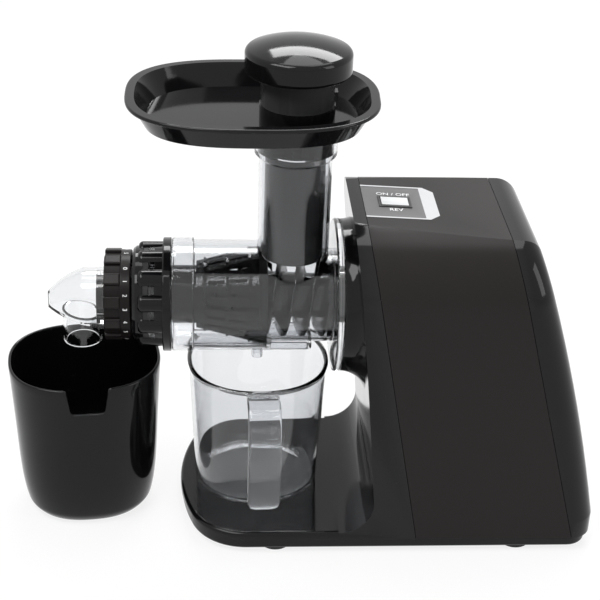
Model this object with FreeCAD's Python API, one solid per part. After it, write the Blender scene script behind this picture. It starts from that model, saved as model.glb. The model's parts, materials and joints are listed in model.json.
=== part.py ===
import FreeCAD, Part
import math
import os

# Horizontal cold press juicer, in millimetres.
# X runs along the auger from the pulp nozzle to the motor, Y away from the viewer, Z up.
# While the pieces are built, x = 0 and y = 0 lie on the axis of the feed chute and z = 0 is the table.

V = FreeCAD.Vector
X_AXIS = V(1, 0, 0)
Y_AXIS = V(0, 1, 0)
Z_AXIS = V(0, 0, 1)

# Fits
RUN_FIT = 0.08          # radial clearance of a shaft that turns in its bush
SLIDE_FIT = 0.3         # gap between pieces that part or turn against each other
SEAM = 0.4              # visible joint line between the housing's covers

# Housing
AXIS_Z = 170.5          # auger axis above the table
FOOT_H = 4.0
FOOT_R = 12.0
FOOT_SINK = 1.0         # how far a foot sits in the pan
FOOT_FRONT_X = -10.0
FOOT_REAR_X = 165.0
FOOT_Y = 60.0
PAN_H = 8.0
PLATE_H = 6.0           # base plate above the pan
BODY_HALF_W = 76.0
BODY_TOP = 244.0
TOP_DROP = 5.0          # fall of the top towards the back
SHOULDER_R = 48.0
ARCH_RISE = 0.6         # the side arches spring a little higher than the flat top
WALL = 3.0
FRONT_TOP_X = 38.0
FRONT_MID_X = 49.0
FRONT_LOW_X = 58.5
COVE_R = 24.0           # round between the column and the base plate
FRONT_SEAM_TOP_X = 47.0
FRONT_SEAM_FOOT_X = 90.5
REAR_SEAM_TOP_X = 141.0
REAR_SEAM_FOOT_X = 203.5
REAR_TOP_X = 160.0
REAR_MID_X = 195.0
REAR_X = 219.0
REAR_EDGE_R = 16.0
VENT_COUNT = 9
VENT_PITCH = 8.0
VENT_W = 3.0
VENT_Z0 = 60.0
VENT_Z1 = 84.0
PLATE_NOSE_X = -79.0
PLATE_EDGE_R = 3.0
NOSE_BOW_R = 140.0      # bow across the plate's free end
NOSE_CORNER_R = 42.0

# Collar that holds the drum
COLLAR_FACE_X = 34.0
COLLAR_R = 54.0
COLLAR_FLARE_R = 67.0
COLLAR_ROOT_X = 52.0
SOCKET_R = 42.0
SOCKET_DEPTH = 12.0
BULKHEAD_T = 4.0

# Clear drum
DRUM_WALL = 2.2
DRUM_R = 38.6
DRUM_FACE_X = -68.5     # where the thick front collar starts
END_COLLAR_R = 39.9
END_COLLAR_W = 15.3
SPIGOT_R = 34.5
SPIGOT_LEN = 16.0
STEP_X = -18.0          # step between the strainer chamber and the feed section
STEP_RING_R = 39.6
STEP_RING_W = 4.0
FEED_R = 33.0
DRUM_FLANGE_R = 54.3
DRUM_FLANGE_T = 5.0
CHUTE_R = 24.9
CHUTE_FLARE_R = 28.0
CHUTE_FLARE_Z = 280.0
CHUTE_TOP = 299.0
TROUGH_NOSE_X = -72.7
TROUGH_TAIL_X = 14.7
TROUGH_HALF_W = 12.0
TROUGH_Z = 130.0
SPOUT_X = -23.4
SPOUT_R = 4.2
SPOUT_BORE_R = 2.8

# Strainer and auger
STRAINER_WALL = 1.8
STRAINER_NOSE_R = 23.6
STRAINER_NOSE_X = -67.0
STRAINER_RIM_R = 34.2
STRAINER_RIM_X = -24.0
STRAINER_TUBE_R = 20.5
STRAINER_SLOTS = 20
STRAINER_SLOT_W = 2.4
AUGER_GAP = 0.7
AUGER_CORE_R = 17.0
AUGER_TIP_CORE_R = 15.0
HEX_AF = 12.0           # across the flats of the drive
HEX_END_X = 60.0
AUGER_SEAL_R = 14.0
AUGER_NECK_R = 10.5

# Nozzle end
LOCK_FLANGE_R = 40.1
LOCK_FLANGE_W = 6.0
LOCK_R = 37.5
LOCK_LEN = 20.5
LOBES = 12
LOBE_PHASE = 13.0       # turn of the first lobe away from the top
MOUTH_LEDGE = 5.0       # how far the ring reaches over the cap's disc
CAP_T = 3.6
NOZZLE_R = 16.5
NOZZLE_WALL = 2.2
NOZZLE_END_X = -136.0
DIAL_R = 32.2
DIAL_BAND_R = 31.4
DIAL_BASE_R = 30.2
DIAL_FACE_X = -130.3
DIAL_BACK_X = -111.9
DIAL_LUG_LEN = 11.0
DIAL_WALL = 2.2
VALVE_LEN = 9.0
VALVE_TRAVEL = 4.0

# Hood
HOOD_WALL = 1.8
HOOD_R = 19.1
HOOD_BACK_X = -131.0
HOOD_SHOULDER_X = -146.0
HOOD_TIP_X = -170.5
HOOD_TIP_FLOOR_Z = 161.0
HOOD_BACK_FLOOR_Z = 153.0
HOOD_SPOUT_X = -147.5
HOOD_SPOUT_R = 13.5
HOOD_SPOUT_Z = 135.0

# Tray and pusher
TRAY_X = -29.5
TRAY_HALF_L = 84.0
TRAY_HALF_W = 66.0
TRAY_POWER = 2.7
TRAY_RIM_Z = 321.0
TRAY_DEPTH = 15.0
TRAY_DRAFT = 9.0
TRAY_WALL = 2.2
TRAY_LIP = 3.0
TRAY_RING_R = 25.3
TRAY_RING_H = 8.0
SPIGOT_DROP = 15.5      # how far the tray's spigot reaches into the chute
PUSHER_R = 20.7
PUSHER_WALL = 2.0
PUSHER_FOOT_Z = 203.0
NECK_R = 24.6
NECK_TOP = 336.0
CAP_R = 35.5
CAP_SIDE_H = 15.0
CAP_H = 22.5
CAP_EDGE_R = 4.0

# Jug and pulp cup
JUG_X = -22.8
JUG_R = 49.8
JUG_FOOT_R = 45.0
JUG_TOP = 120.0
JUG_WALL = 2.0
JUG_POWER = 2.2
JUG_TURN = 2.5
JUG_RECESS_R = 47.0
JUG_RECESS_DEPTH = 0.25
JUG_SEAT_GAP = 0.05     # the jug slides out over the plate
HANDLE_W = 23.0
HANDLE_T = 6.0
HANDLE_REACH = 28.0
HANDLE_FOOT_Z = 38.0
HANDLE_BEND = 13.0
CUP_X = -147.0
CUP_RX = 54.1
CUP_RY = 48.7
CUP_TOP = 120.0
CUP_WALL = 2.2
CUP_POWER = 2.35
CUP_TURN = 6.4
NOTCH_W = 27.0
NOTCH_DEPTH = 20.0

# Control panel
PANEL_BACK_X = 98.0
PANEL_HALF_W = 26.0
PANEL_T = 1.6
TRIM_W = 1.8
TRIM_BAND = 10.0
SWITCH_X = 69.0
SWITCH_LEN = 20.5
SWITCH_W = 14.5
SWITCH_DEPTH = 20.0
ROCKER_RISE = 2.2

# Gear train
SMALL_MODULE = 1.5
LARGE_MODULE = 1.75
PINION_TEETH = 12
LAY_TEETH = 48
LAY_PINION_TEETH = 14
OUTPUT_TEETH = 44
BACKLASH = 0.3
FAST_GEAR_X = 95.0
FAST_GEAR_W = 7.0
SLOW_GEAR_X = 77.0
SLOW_GEAR_W = 13.0
GEARBOX_FRONT_X = 70.0
GEARBOX_T = 4.0
GEARBOX_LEN = 38.0
GEARBOX_HALF_W = 44.0
OUTPUT_SHAFT_R = 9.5
LAY_SHAFT_R = 4.0
MOTOR_SHAFT_R = 3.0
BUSH_T = 3.0
PEDESTAL_Y = 30.0
PEDESTAL_Z = 24.0

# Motor
MOTOR_R = 37.0
MOTOR_LEN = 76.0
MOTOR_WALL = 1.6
STATOR_T = 9.0
STATOR_LEN = 44.0
AIR_GAP = 0.8

# Board, gland and fasteners
BOARD_LEN = 46.0
BOARD_W = 60.0
BOARD_T = 1.6
BOARD_Z = 18.0
POST_R = 3.5
GLAND_R = 6.0
GLAND_Y = 40.0
GLAND_Z = 34.0
GLAND_OUT = 9.0
SCREW_R = 2.0
SCREW_HEAD_R = 3.8

# Sizes that follow from the ones above
PARTING_Z = FOOT_H + PAN_H
PLATE_Z = PARTING_Z + PLATE_H
PAN_FLOOR_Z = FOOT_H + WALL
SOCKET_FLOOR_X = COLLAR_FACE_X + SOCKET_DEPTH
DRUM_END_X = DRUM_FACE_X - END_COLLAR_W
SPIGOT_END_X = DRUM_END_X - SPIGOT_LEN
LOCK_BACK_X = DRUM_END_X - SLIDE_FIT
LOCK_FRONT_X = LOCK_BACK_X - LOCK_FLANGE_W - LOCK_LEN
CAP_BACK_X = SPIGOT_END_X
CAP_FRONT_X = CAP_BACK_X - CAP_T
NOZZLE_BORE_R = NOZZLE_R - NOZZLE_WALL
LOCK_CAVITY_X = CAP_FRONT_X - SLIDE_FIT
LOCK_MOUTH_R = SPIGOT_R - MOUTH_LEDGE
TRAY_FLOOR_Z = TRAY_RIM_Z - TRAY_DEPTH
TRAY_RING_TOP = TRAY_FLOOR_Z + TRAY_RING_H
CHUTE_BORE_R = CHUTE_R - DRUM_WALL
CHUTE_SEAT_R = CHUTE_FLARE_R - DRUM_WALL
LAY_Z = AXIS_Z - LARGE_MODULE * (LAY_PINION_TEETH + OUTPUT_TEETH) / 2
MOTOR_Z = LAY_Z - SMALL_MODULE * (PINION_TEETH + LAY_TEETH) / 2
GEARBOX_BACK_X = GEARBOX_FRONT_X + GEARBOX_LEN
MOTOR_BACK_X = GEARBOX_BACK_X + MOTOR_LEN
SEAM_SLOPE = (FRONT_SEAM_FOOT_X - FRONT_SEAM_TOP_X) / (BODY_TOP - PARTING_Z)
REAR_SLOPE = (REAR_SEAM_FOOT_X - REAR_SEAM_TOP_X) / (BODY_TOP - PARTING_Z)
PEDESTAL_X0 = GEARBOX_FRONT_X + 4
PEDESTAL_X1 = GEARBOX_BACK_X
CHAMBER_X = DRUM_END_X + 3
TRAY_SPIGOT_Z = CHUTE_TOP - SPIGOT_DROP
STRAINER_TUBE_X = SPIGOT_END_X + 0.3
AUGER_TIP_X = STRAINER_NOSE_X + 2.6
AUGER_BACK_X = COLLAR_FACE_X - SLIDE_FIT - DRUM_FLANGE_T - AUGER_GAP


# Basic forms

def box(x0, x1, y0, y1, z0, z1):
    return Part.makeBox(x1 - x0, y1 - y0, z1 - z0, V(x0, y0, z0))


def cyl_x(radius, x0, x1, y=0.0, z=AXIS_Z):
    return Part.makeCylinder(radius, x1 - x0, V(x0, y, z), X_AXIS)


def cyl_z(radius, z0, z1, x=0.0, y=0.0):
    return Part.makeCylinder(radius, z1 - z0, V(x, y, z0), Z_AXIS)


def tube_x(outer, inner, x0, x1, y=0.0, z=AXIS_Z):
    return cyl_x(outer, x0, x1, y, z).cut(cyl_x(inner, x0 - 1, x1 + 1, y, z))


def polygon(points):
    return Part.makePolygon(points + [points[0]])


def turned_x(outline):
    """Solid turned about the auger axis from (x, radius) points."""
    wire = polygon([V(x, 0, AXIS_Z + r) for x, r in outline])
    return Part.Face(wire).revolve(V(0, 0, AXIS_Z), X_AXIS, 360)


def turned_z(outline, x=0.0):
    """Solid turned about a vertical axis from (radius, z) points."""
    wire = polygon([V(x + r, 0, z) for r, z in outline])
    return Part.Face(wire).revolve(V(x, 0, 0), Z_AXIS, 360)


def side_plate(edges, half_width):
    """Profile in the XZ plane, given as edges, made as wide as both half widths."""
    face = Part.Face(Part.Wire(Part.__sortEdges__(edges)))
    solid = face.extrude(V(0, 2 * half_width, 0))
    solid.translate(V(0, -half_width, 0))
    return solid


def line(a, b):
    return Part.LineSegment(a, b).toShape()


def arc(a, b, c):
    return Part.Arc(a, b, c).toShape()


def oval(half_x, half_y, power, z, x=0.0, points=24):
    """Closed squarish oval: a superellipse through evenly spaced points."""
    curve_points = []
    for i in range(points):
        angle = 2 * math.pi * i / points
        cos_a = math.cos(angle)
        sin_a = math.sin(angle)
        px = half_x * math.copysign(abs(cos_a) ** (2 / power), cos_a)
        py = half_y * math.copysign(abs(sin_a) ** (2 / power), sin_a)
        curve_points.append(V(x + px, py, z))
    curve = Part.BSplineCurve()
    curve.interpolate(curve_points, True)
    return Part.Wire(curve.toShape())


def around_x(shape, count, first=0.0):
    copies = []
    for i in range(count):
        copy = shape.copy()
        copy.rotate(V(0, 0, AXIS_Z), X_AXIS, first + 360.0 * i / count)
        copies.append(copy)
    return copies


def rounded(shape, radius, wanted):
    """Fillet of the edges that the test picks."""
    edges = [edge for edge in shape.Edges if wanted(edge)]
    return shape.makeFillet(radius, edges) if edges else shape


def one(shape):
    """The shape cleaned of seams between coplanar faces."""
    return shape.removeSplitter()


# Housing

def seam_x(z):
    return FRONT_SEAM_TOP_X + SEAM_SLOPE * (BODY_TOP - z)


def rear_seam_x(z):
    return REAR_SEAM_TOP_X + REAR_SLOPE * (BODY_TOP - z)


def body_block(inset):
    """The motor housing's outer form, or its hollow when inset by the wall."""
    top = BODY_TOP - inset
    low = PARTING_Z - (5.0 if inset else 0.0)
    front_foot = V(FRONT_LOW_X + inset, 0, PLATE_Z + COVE_R)
    front_mid = V(FRONT_MID_X + inset, 0, (BODY_TOP + PLATE_Z + COVE_R) / 2)
    front_top = V(FRONT_TOP_X + inset, 0, top)
    drop = TOP_DROP * (REAR_TOP_X - FRONT_TOP_X) / (REAR_SEAM_TOP_X - FRONT_TOP_X)
    hip = V(REAR_TOP_X - inset, 0, top - drop)
    back = V(REAR_MID_X - inset, 0, (BODY_TOP + PARTING_Z) / 2)
    back_foot = V(REAR_X - inset, 0, PARTING_Z + 15.0)
    edges = [
        line(V(front_foot.x, 0, low), front_foot),
        arc(front_foot, front_mid, front_top),
        line(front_top, hip),
        arc(hip, back, back_foot),
        line(back_foot, V(back_foot.x, 0, low)),
        line(V(back_foot.x, 0, low), V(front_foot.x, 0, low)),
    ]
    half_w = BODY_HALF_W - inset
    solid = side_plate(edges, BODY_HALF_W)
    shoulder = SHOULDER_R - inset
    arch_top = top + ARCH_RISE
    arch = box(0, REAR_X + 10, -half_w, half_w, low - 1, arch_top)
    arch = rounded(arch, shoulder, lambda e: e.BoundBox.XLength > 50 and e.BoundBox.ZMin > arch_top - 1)
    solid = solid.common(arch)
    return rounded(solid, REAR_EDGE_R - inset, rear_edge)


def rear_edge(edge):
    """Edges between the back face and the top, sides and shoulders."""
    bounds = edge.BoundBox
    across = bounds.YLength > BODY_HALF_W and bounds.ZMax < BODY_TOP - 3 * SHOULDER_R / 4
    return bounds.XMin > REAR_TOP_X - 8 and not across


def ahead_of(line_x, gap):
    """Space in front of a leaning seam."""
    top = BODY_TOP + 20
    low = -20
    points = [V(-200, 0, low), V(line_x(low) - gap, 0, low), V(line_x(top) - gap, 0, top), V(-200, 0, top)]
    face = Part.Face(polygon(points))
    solid = face.extrude(V(0, 2 * BODY_HALF_W + 20, 0))
    solid.translate(V(0, -BODY_HALF_W - 10, 0))
    return solid


def plate_outline(inset, z):
    """Base plate seen from above: straight sides, round corners and a bowed nose."""
    half_w = BODY_HALF_W - inset
    bow_x = PLATE_NOSE_X + NOSE_BOW_R
    side_y = BODY_HALF_W - NOSE_CORNER_R
    reach = NOSE_BOW_R - NOSE_CORNER_R
    corner_x = bow_x - math.sqrt(reach ** 2 - side_y ** 2)
    tilt = math.asin(side_y / reach)
    corner_r = NOSE_CORNER_R - inset
    meet = V(corner_x - corner_r * math.cos(tilt), side_y + corner_r * math.sin(tilt), z)
    half_turn = (math.pi / 2 + tilt) / 2
    middle = V(corner_x - corner_r * math.cos(half_turn), side_y + corner_r * math.sin(half_turn), z)
    start = V(corner_x, half_w, z)
    tip = V(PLATE_NOSE_X + inset, 0, z)
    back_x = FRONT_LOW_X + 20
    far = V(back_x, half_w, z)
    near = V(back_x, -half_w, z)
    edges = [line(far, start), arc(start, middle, meet), arc(meet, tip, mirrored(meet)),
             arc(mirrored(meet), mirrored(middle), mirrored(start)),
             line(mirrored(start), near), line(near, far)]
    return Part.Wire(edges)


def mirrored(point):
    return V(point.x, -point.y, point.z)


def plate_block(inset, z0, z1):
    return Part.Face(plate_outline(inset, z0)).extrude(V(0, 0, z1 - z0))


def cove_block(inset):
    """Round between the plate and the column."""
    x = FRONT_LOW_X + inset
    z = PLATE_Z - inset
    radius = COVE_R
    centre = V(x - radius, 0, z + radius)
    diagonal = radius * math.sqrt(0.5)
    middle = V(centre.x + diagonal, 0, centre.z - diagonal)
    corner = V(x + 10, 0, z + radius)
    edges = [
        arc(V(centre.x, 0, z), middle, V(x, 0, centre.z)),
        line(V(x, 0, centre.z), corner),
        line(corner, V(corner.x, 0, z - 2)),
        line(V(corner.x, 0, z - 2), V(centre.x, 0, z - 2)),
        line(V(centre.x, 0, z - 2), V(centre.x, 0, z)),
    ]
    return side_plate(edges, BODY_HALF_W - inset)


def make_base_shell():
    outer = body_block(0).common(ahead_of(seam_x, SEAM / 2))
    deck = plate_block(0, PARTING_Z, PLATE_Z)
    deck = rounded(deck, PLATE_EDGE_R, lambda e: abs(e.BoundBox.ZMin - PLATE_Z) < 0.01
                   and e.BoundBox.XMin < FRONT_LOW_X)
    shell = outer.fuse(deck).fuse(cove_block(0)).common(ahead_of(seam_x, SEAM / 2))
    flare = Part.Face(Part.Wire(Part.__sortEdges__([
        line(V(COLLAR_FACE_X, 0, AXIS_Z), V(COLLAR_FACE_X, 0, AXIS_Z + COLLAR_R)),
        arc(V(COLLAR_FACE_X, 0, AXIS_Z + COLLAR_R),
            V(COLLAR_FACE_X + 11, 0, AXIS_Z + COLLAR_R + 3.5),
            V(COLLAR_ROOT_X, 0, AXIS_Z + COLLAR_FLARE_R)),
        line(V(COLLAR_ROOT_X, 0, AXIS_Z + COLLAR_FLARE_R), V(COLLAR_ROOT_X, 0, AXIS_Z)),
        line(V(COLLAR_ROOT_X, 0, AXIS_Z), V(COLLAR_FACE_X, 0, AXIS_Z)),
    ]))).revolve(V(0, 0, AXIS_Z), X_AXIS, 360)
    flare = flare.common(ahead_of(seam_x, SEAM / 2))
    hollow = body_block(WALL).fuse(plate_block(WALL, 0, PLATE_Z - WALL)).fuse(cove_block(WALL))
    hollow = hollow.cut(cyl_x(SOCKET_R + WALL, 0, SOCKET_FLOOR_X + BULKHEAD_T))
    shell = shell.fuse(flare).cut(hollow)
    shell = shell.cut(cyl_x(SOCKET_R, 0, SOCKET_FLOOR_X))
    shell = shell.cut(cyl_x(OUTPUT_SHAFT_R + 4, 0, SOCKET_FLOOR_X + BULKHEAD_T + 1))
    recess = cyl_z(JUG_RECESS_R, PLATE_Z - JUG_RECESS_DEPTH, PLATE_Z + 1, JUG_X)
    return one(shell.cut(recess))


def make_bottom_pan():
    def footprint(inset, z0, z1):
        back = REAR_X - 2 - inset
        half_w = BODY_HALF_W - inset
        block = box(FRONT_LOW_X, back, -half_w, half_w, z0, z1)
        block = rounded(block, REAR_EDGE_R - inset, lambda e: e.BoundBox.ZLength > 1
                        and e.BoundBox.XMin > back - 1)
        return block.fuse(plate_block(inset, z0, z1))
    pan = one(footprint(1.0, FOOT_H, PARTING_Z))
    pan = rounded(pan, 2.5, lambda e: e.BoundBox.ZMax < FOOT_H + 0.01)
    pan = pan.cut(footprint(1.0 + WALL, PAN_FLOOR_Z, PARTING_Z + 1))
    for x, y in foot_places():
        pan = pan.cut(cyl_z(FOOT_R, 0, FOOT_H + FOOT_SINK, x, y))
    for x, y in board_posts():
        pan = pan.fuse(cyl_z(POST_R, PAN_FLOOR_Z, BOARD_Z, x, y))
    for x, y in screw_places():
        pan = pan.fuse(cyl_z(SCREW_HEAD_R + 2, PAN_FLOOR_Z, PARTING_Z, x, y))
        pan = pan.cut(cyl_z(SCREW_HEAD_R, 0, FOOT_H + 2, x, y))
        pan = pan.cut(cyl_z(SCREW_R, 0, PARTING_Z + 1, x, y))
    for y in (-PEDESTAL_Y, PEDESTAL_Y):
        pan = pan.fuse(box(PEDESTAL_X0, PEDESTAL_X1, y - 6, y + 6, PAN_FLOOR_Z, PEDESTAL_Z))
    return pan


def foot_places():
    return [(x, y) for x in (FOOT_FRONT_X, FOOT_REAR_X) for y in (-FOOT_Y, FOOT_Y)]


def board_posts():
    x = GEARBOX_BACK_X + 22
    return [(x + dx, dy) for dx in (5, BOARD_LEN - 5) for dy in (5 - BOARD_W / 2, BOARD_W / 2 - 5)]


def screw_places():
    return [(x, y) for x in (-45.0, 30.0, REAR_X - 25) for y in (-45.0, 45.0)]


def make_feet():
    feet = []
    for x, y in foot_places():
        pad = cyl_z(FOOT_R - 0.1, 0, FOOT_H + FOOT_SINK, x, y)
        feet.append(rounded(pad, 1.2, lambda e: e.BoundBox.ZMax < 0.01))
    return Part.Compound(feet)


def make_base_screws():
    screws = []
    for x, y in screw_places():
        head = cyl_z(SCREW_HEAD_R - 0.2, FOOT_H + 0.4, FOOT_H + 2, x, y)
        shank = cyl_z(SCREW_R - 0.1, FOOT_H + 2, PARTING_Z, x, y)
        screws.append(head.fuse(shank))
    return Part.Compound(screws)


def housing_skin():
    return body_block(0).cut(body_block(WALL))


def panel_block(z0, z1, grow=0.0):
    """The control panel's outline, following the sloping top."""
    near = -PANEL_HALF_W - grow
    far = PANEL_HALF_W + grow
    back = PANEL_BACK_X + grow
    chamfer = 7.0
    front = FRONT_SEAM_TOP_X - 5
    points = [V(front, near, 0), V(back - chamfer, near, 0), V(back, near + chamfer, 0),
              V(back, far - chamfer, 0), V(back - chamfer, far, 0), V(front, far, 0)]
    solid = Part.Face(polygon(points)).extrude(V(0, 0, z1 - z0))
    solid.translate(V(0, 0, z0))
    slope = math.degrees(math.atan2(TOP_DROP, REAR_SEAM_TOP_X - FRONT_TOP_X))
    solid.translate(V(0, 0, BODY_TOP))
    solid.rotate(V(FRONT_TOP_X, 0, BODY_TOP), Y_AXIS, slope)
    return solid.cut(ahead_of(seam_x, -SEAM / 2))


def switch_frame(dx, dy, z0, z1):
    """Block about the switch's centre, standing square on the sloping panel."""
    slope = math.degrees(math.atan2(TOP_DROP, REAR_SEAM_TOP_X - FRONT_TOP_X))
    solid = box(SWITCH_X - dx, SWITCH_X + dx, -dy, dy, BODY_TOP + z0, BODY_TOP + z1)
    solid.rotate(V(FRONT_TOP_X, 0, BODY_TOP), Y_AXIS, slope)
    return solid


def make_wrap_cover():
    cover = housing_skin().common(ahead_of(rear_seam_x, SEAM / 2)).cut(ahead_of(seam_x, -SEAM / 2))
    cover = cover.cut(panel_block(-PANEL_T, 5))
    return cover.cut(switch_frame(SWITCH_LEN / 2 + 1.2, SWITCH_W / 2 + 1.2, -10, 5))


def make_rear_cover():
    cover = housing_skin().cut(ahead_of(rear_seam_x, -SEAM / 2))
    cover = cover.cut(cyl_x(GLAND_R, REAR_X - 20, REAR_X + 5, GLAND_Y, GLAND_Z))
    for i in range(VENT_COUNT):
        y = (i - (VENT_COUNT - 1) / 2) * VENT_PITCH
        cover = cover.cut(box(REAR_MID_X, REAR_X + 5, y - VENT_W / 2, y + VENT_W / 2, VENT_Z0, VENT_Z1))
    return cover


def make_panel_plate():
    plate = panel_block(-PANEL_T, 0)
    trim = make_panel_trim()
    return plate.cut(trim).cut(switch_frame(SWITCH_LEN / 2 + 1.2, SWITCH_W / 2 + 1.2, -10, 5))


def make_panel_trim():
    """Bright U-shaped band: thin along the sides and broad across the back."""
    rim = panel_block(-PANEL_T, 0.3).cut(panel_block(-PANEL_T - 1, 2, -TRIM_W))
    back = panel_block(-PANEL_T, 0.3).cut(box(0, PANEL_BACK_X - TRIM_BAND, -50, 50, 200, 260))
    return one(rim.fuse(back))


def make_switch_body():
    bezel = switch_frame(SWITCH_LEN / 2 + 1.1, SWITCH_W / 2 + 1.1, -SWITCH_DEPTH, 0.6)
    well = switch_frame(SWITCH_LEN / 2 - 0.4, SWITCH_W / 2 - 0.4, -9, 5)
    return bezel.cut(well)


def make_rocker():
    """Rocker with two slightly dished halves, meeting in a shallow ridge."""
    half_l = SWITCH_LEN / 2 - 0.9
    half_w = SWITCH_W / 2 - 1.1
    points = [V(0, -half_w, 0.3 + ROCKER_RISE * 0.3), V(0, 0, ROCKER_RISE * 0.25),
              V(0, half_w, 0.3 + ROCKER_RISE * 0.3), V(0, half_w - 0.8, -2.6),
              V(0, 2.2, -5.2), V(0, -2.2, -5.2), V(0, -half_w + 0.8, -2.6)]
    solid = Part.Face(polygon(points)).extrude(V(2 * half_l, 0, 0))
    solid.translate(V(SWITCH_X - half_l, 0, BODY_TOP))
    slope = math.degrees(math.atan2(TOP_DROP, REAR_SEAM_TOP_X - FRONT_TOP_X))
    solid.rotate(V(FRONT_TOP_X, 0, BODY_TOP), Y_AXIS, slope)
    return solid


# Gear train and motor

def gear(module, teeth, x0, x1, z, tooth_angle):
    """Spur gear with straight-flanked teeth; one tooth centre points along tooth_angle."""
    pitch_r = module * teeth / 2
    tip_r = pitch_r + 0.9 * module
    root_r = pitch_r - 1.2 * module
    half_pitch = (math.pi * module / 2 - BACKLASH) / 2 / pitch_r
    lean = math.tan(math.radians(22))
    half_tip = half_pitch - 0.9 * module * lean / pitch_r
    half_root = half_pitch + 0.9 * module * lean / pitch_r
    points = []
    flank = ((root_r, -half_root), (tip_r, -half_tip), (tip_r, half_tip), (root_r, half_root))
    for i in range(teeth):
        centre = math.radians(tooth_angle) + 2 * math.pi * i / teeth
        for radius, offset in flank:
            angle = centre + offset
            points.append(V(x0, radius * math.cos(angle), z + radius * math.sin(angle)))
    return Part.Face(polygon(points)).extrude(V(x1 - x0, 0, 0))


def make_output_gear():
    x1 = SLOW_GEAR_X + SLOW_GEAR_W
    wheel = gear(LARGE_MODULE, OUTPUT_TEETH, SLOW_GEAR_X, x1, AXIS_Z, -90 + 180.0 / OUTPUT_TEETH)
    for x0, xe in ((SLOW_GEAR_X - 1, SLOW_GEAR_X + 3), (x1 - 3, x1 + 1)):
        wheel = wheel.cut(tube_x(30.0, OUTPUT_SHAFT_R + 6, x0, xe))
    return wheel.cut(cyl_x(OUTPUT_SHAFT_R, SLOW_GEAR_X - 1, x1 + 1))


def hex_bar(across_flats, x0, x1):
    radius = across_flats / math.sqrt(3)
    points = [V(x0, radius * math.cos(math.pi * i / 3), AXIS_Z + radius * math.sin(math.pi * i / 3))
              for i in range(6)]
    return Part.Face(polygon(points)).extrude(V(x1 - x0, 0, 0))


def make_output_shaft():
    shaft = cyl_x(OUTPUT_SHAFT_R, SOCKET_FLOOR_X + 0.5, GEARBOX_BACK_X - 0.5)
    return shaft.cut(hex_bar(HEX_AF + 0.2, SOCKET_FLOOR_X, HEX_END_X + 0.5))


def make_lay_gear():
    """Large and small gear on one shaft."""
    fast_end = FAST_GEAR_X + FAST_GEAR_W
    slow_end = SLOW_GEAR_X + SLOW_GEAR_W
    large = gear(SMALL_MODULE, LAY_TEETH, FAST_GEAR_X, fast_end, LAY_Z, -90 + 180.0 / LAY_TEETH)
    small = gear(LARGE_MODULE, LAY_PINION_TEETH, SLOW_GEAR_X, FAST_GEAR_X, LAY_Z, 90.0)
    recess = tube_x(28.0, 14.0, fast_end - 2, fast_end + 1, 0, LAY_Z)
    spacer = cyl_x(LAY_SHAFT_R + 4, slow_end, FAST_GEAR_X, 0, LAY_Z)
    shaft = cyl_x(LAY_SHAFT_R, GEARBOX_FRONT_X + 0.5, GEARBOX_BACK_X - 0.5, 0, LAY_Z)
    return large.cut(recess).fuse(small).fuse(spacer).fuse(shaft)


def make_rotor():
    """Armature, commutator, shaft and motor pinion."""
    middle = (GEARBOX_BACK_X + MOTOR_BACK_X) / 2
    core_r = MOTOR_R - MOTOR_WALL - STATOR_T - AIR_GAP
    core = cyl_x(core_r, middle - STATOR_LEN / 2, middle + STATOR_LEN / 2, 0, MOTOR_Z)
    slot = box(middle - 40, middle + 40, -1.2, 1.2, MOTOR_Z + core_r - 6, MOTOR_Z + core_r + 1)
    for i in range(12):
        cut = slot.copy()
        cut.rotate(V(0, 0, MOTOR_Z), X_AXIS, 30.0 * i)
        core = core.cut(cut)
    drum = cyl_x(9.0, middle + STATOR_LEN / 2, middle + STATOR_LEN / 2 + 9, 0, MOTOR_Z)
    shaft = cyl_x(MOTOR_SHAFT_R, FAST_GEAR_X, MOTOR_BACK_X - 0.5, 0, MOTOR_Z)
    pinion = gear(SMALL_MODULE, PINION_TEETH, FAST_GEAR_X, FAST_GEAR_X + FAST_GEAR_W, MOTOR_Z, 90.0)
    return core.fuse(drum).fuse(shaft).fuse(pinion)


def make_stator():
    middle = (GEARBOX_BACK_X + MOTOR_BACK_X) / 2
    outer = MOTOR_R - MOTOR_WALL
    return tube_x(outer, outer - STATOR_T, middle - STATOR_LEN / 2, middle + STATOR_LEN / 2, 0, MOTOR_Z)


def make_motor_can():
    can = cyl_x(MOTOR_R, GEARBOX_BACK_X, MOTOR_BACK_X - 6, 0, MOTOR_Z)
    can = can.cut(cyl_x(MOTOR_R - MOTOR_WALL, GEARBOX_BACK_X + MOTOR_WALL, MOTOR_BACK_X, 0, MOTOR_Z))
    return can.cut(cyl_x(MOTOR_SHAFT_R + BUSH_T, GEARBOX_BACK_X - 1, GEARBOX_BACK_X + 4, 0, MOTOR_Z))


def make_motor_end_cap():
    x0 = MOTOR_BACK_X - 6
    cap = cyl_x(MOTOR_R, x0, MOTOR_BACK_X, 0, MOTOR_Z)
    cap = rounded(cap, 2.0, lambda e: e.BoundBox.XMin > MOTOR_BACK_X - 0.1)
    cap = cap.cut(cyl_x(MOTOR_R - 4, x0 - 1, MOTOR_BACK_X - 3, 0, MOTOR_Z))
    vent = box(x0, MOTOR_BACK_X + 1, -4, 4, MOTOR_Z + 14, MOTOR_Z + 28)
    for i in range(6):
        cut = vent.copy()
        cut.rotate(V(0, 0, MOTOR_Z), X_AXIS, 60.0 * i)
        cap = cap.cut(cut)
    return cap.cut(cyl_x(MOTOR_SHAFT_R + BUSH_T, x0, MOTOR_BACK_X + 1, 0, MOTOR_Z))


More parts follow.
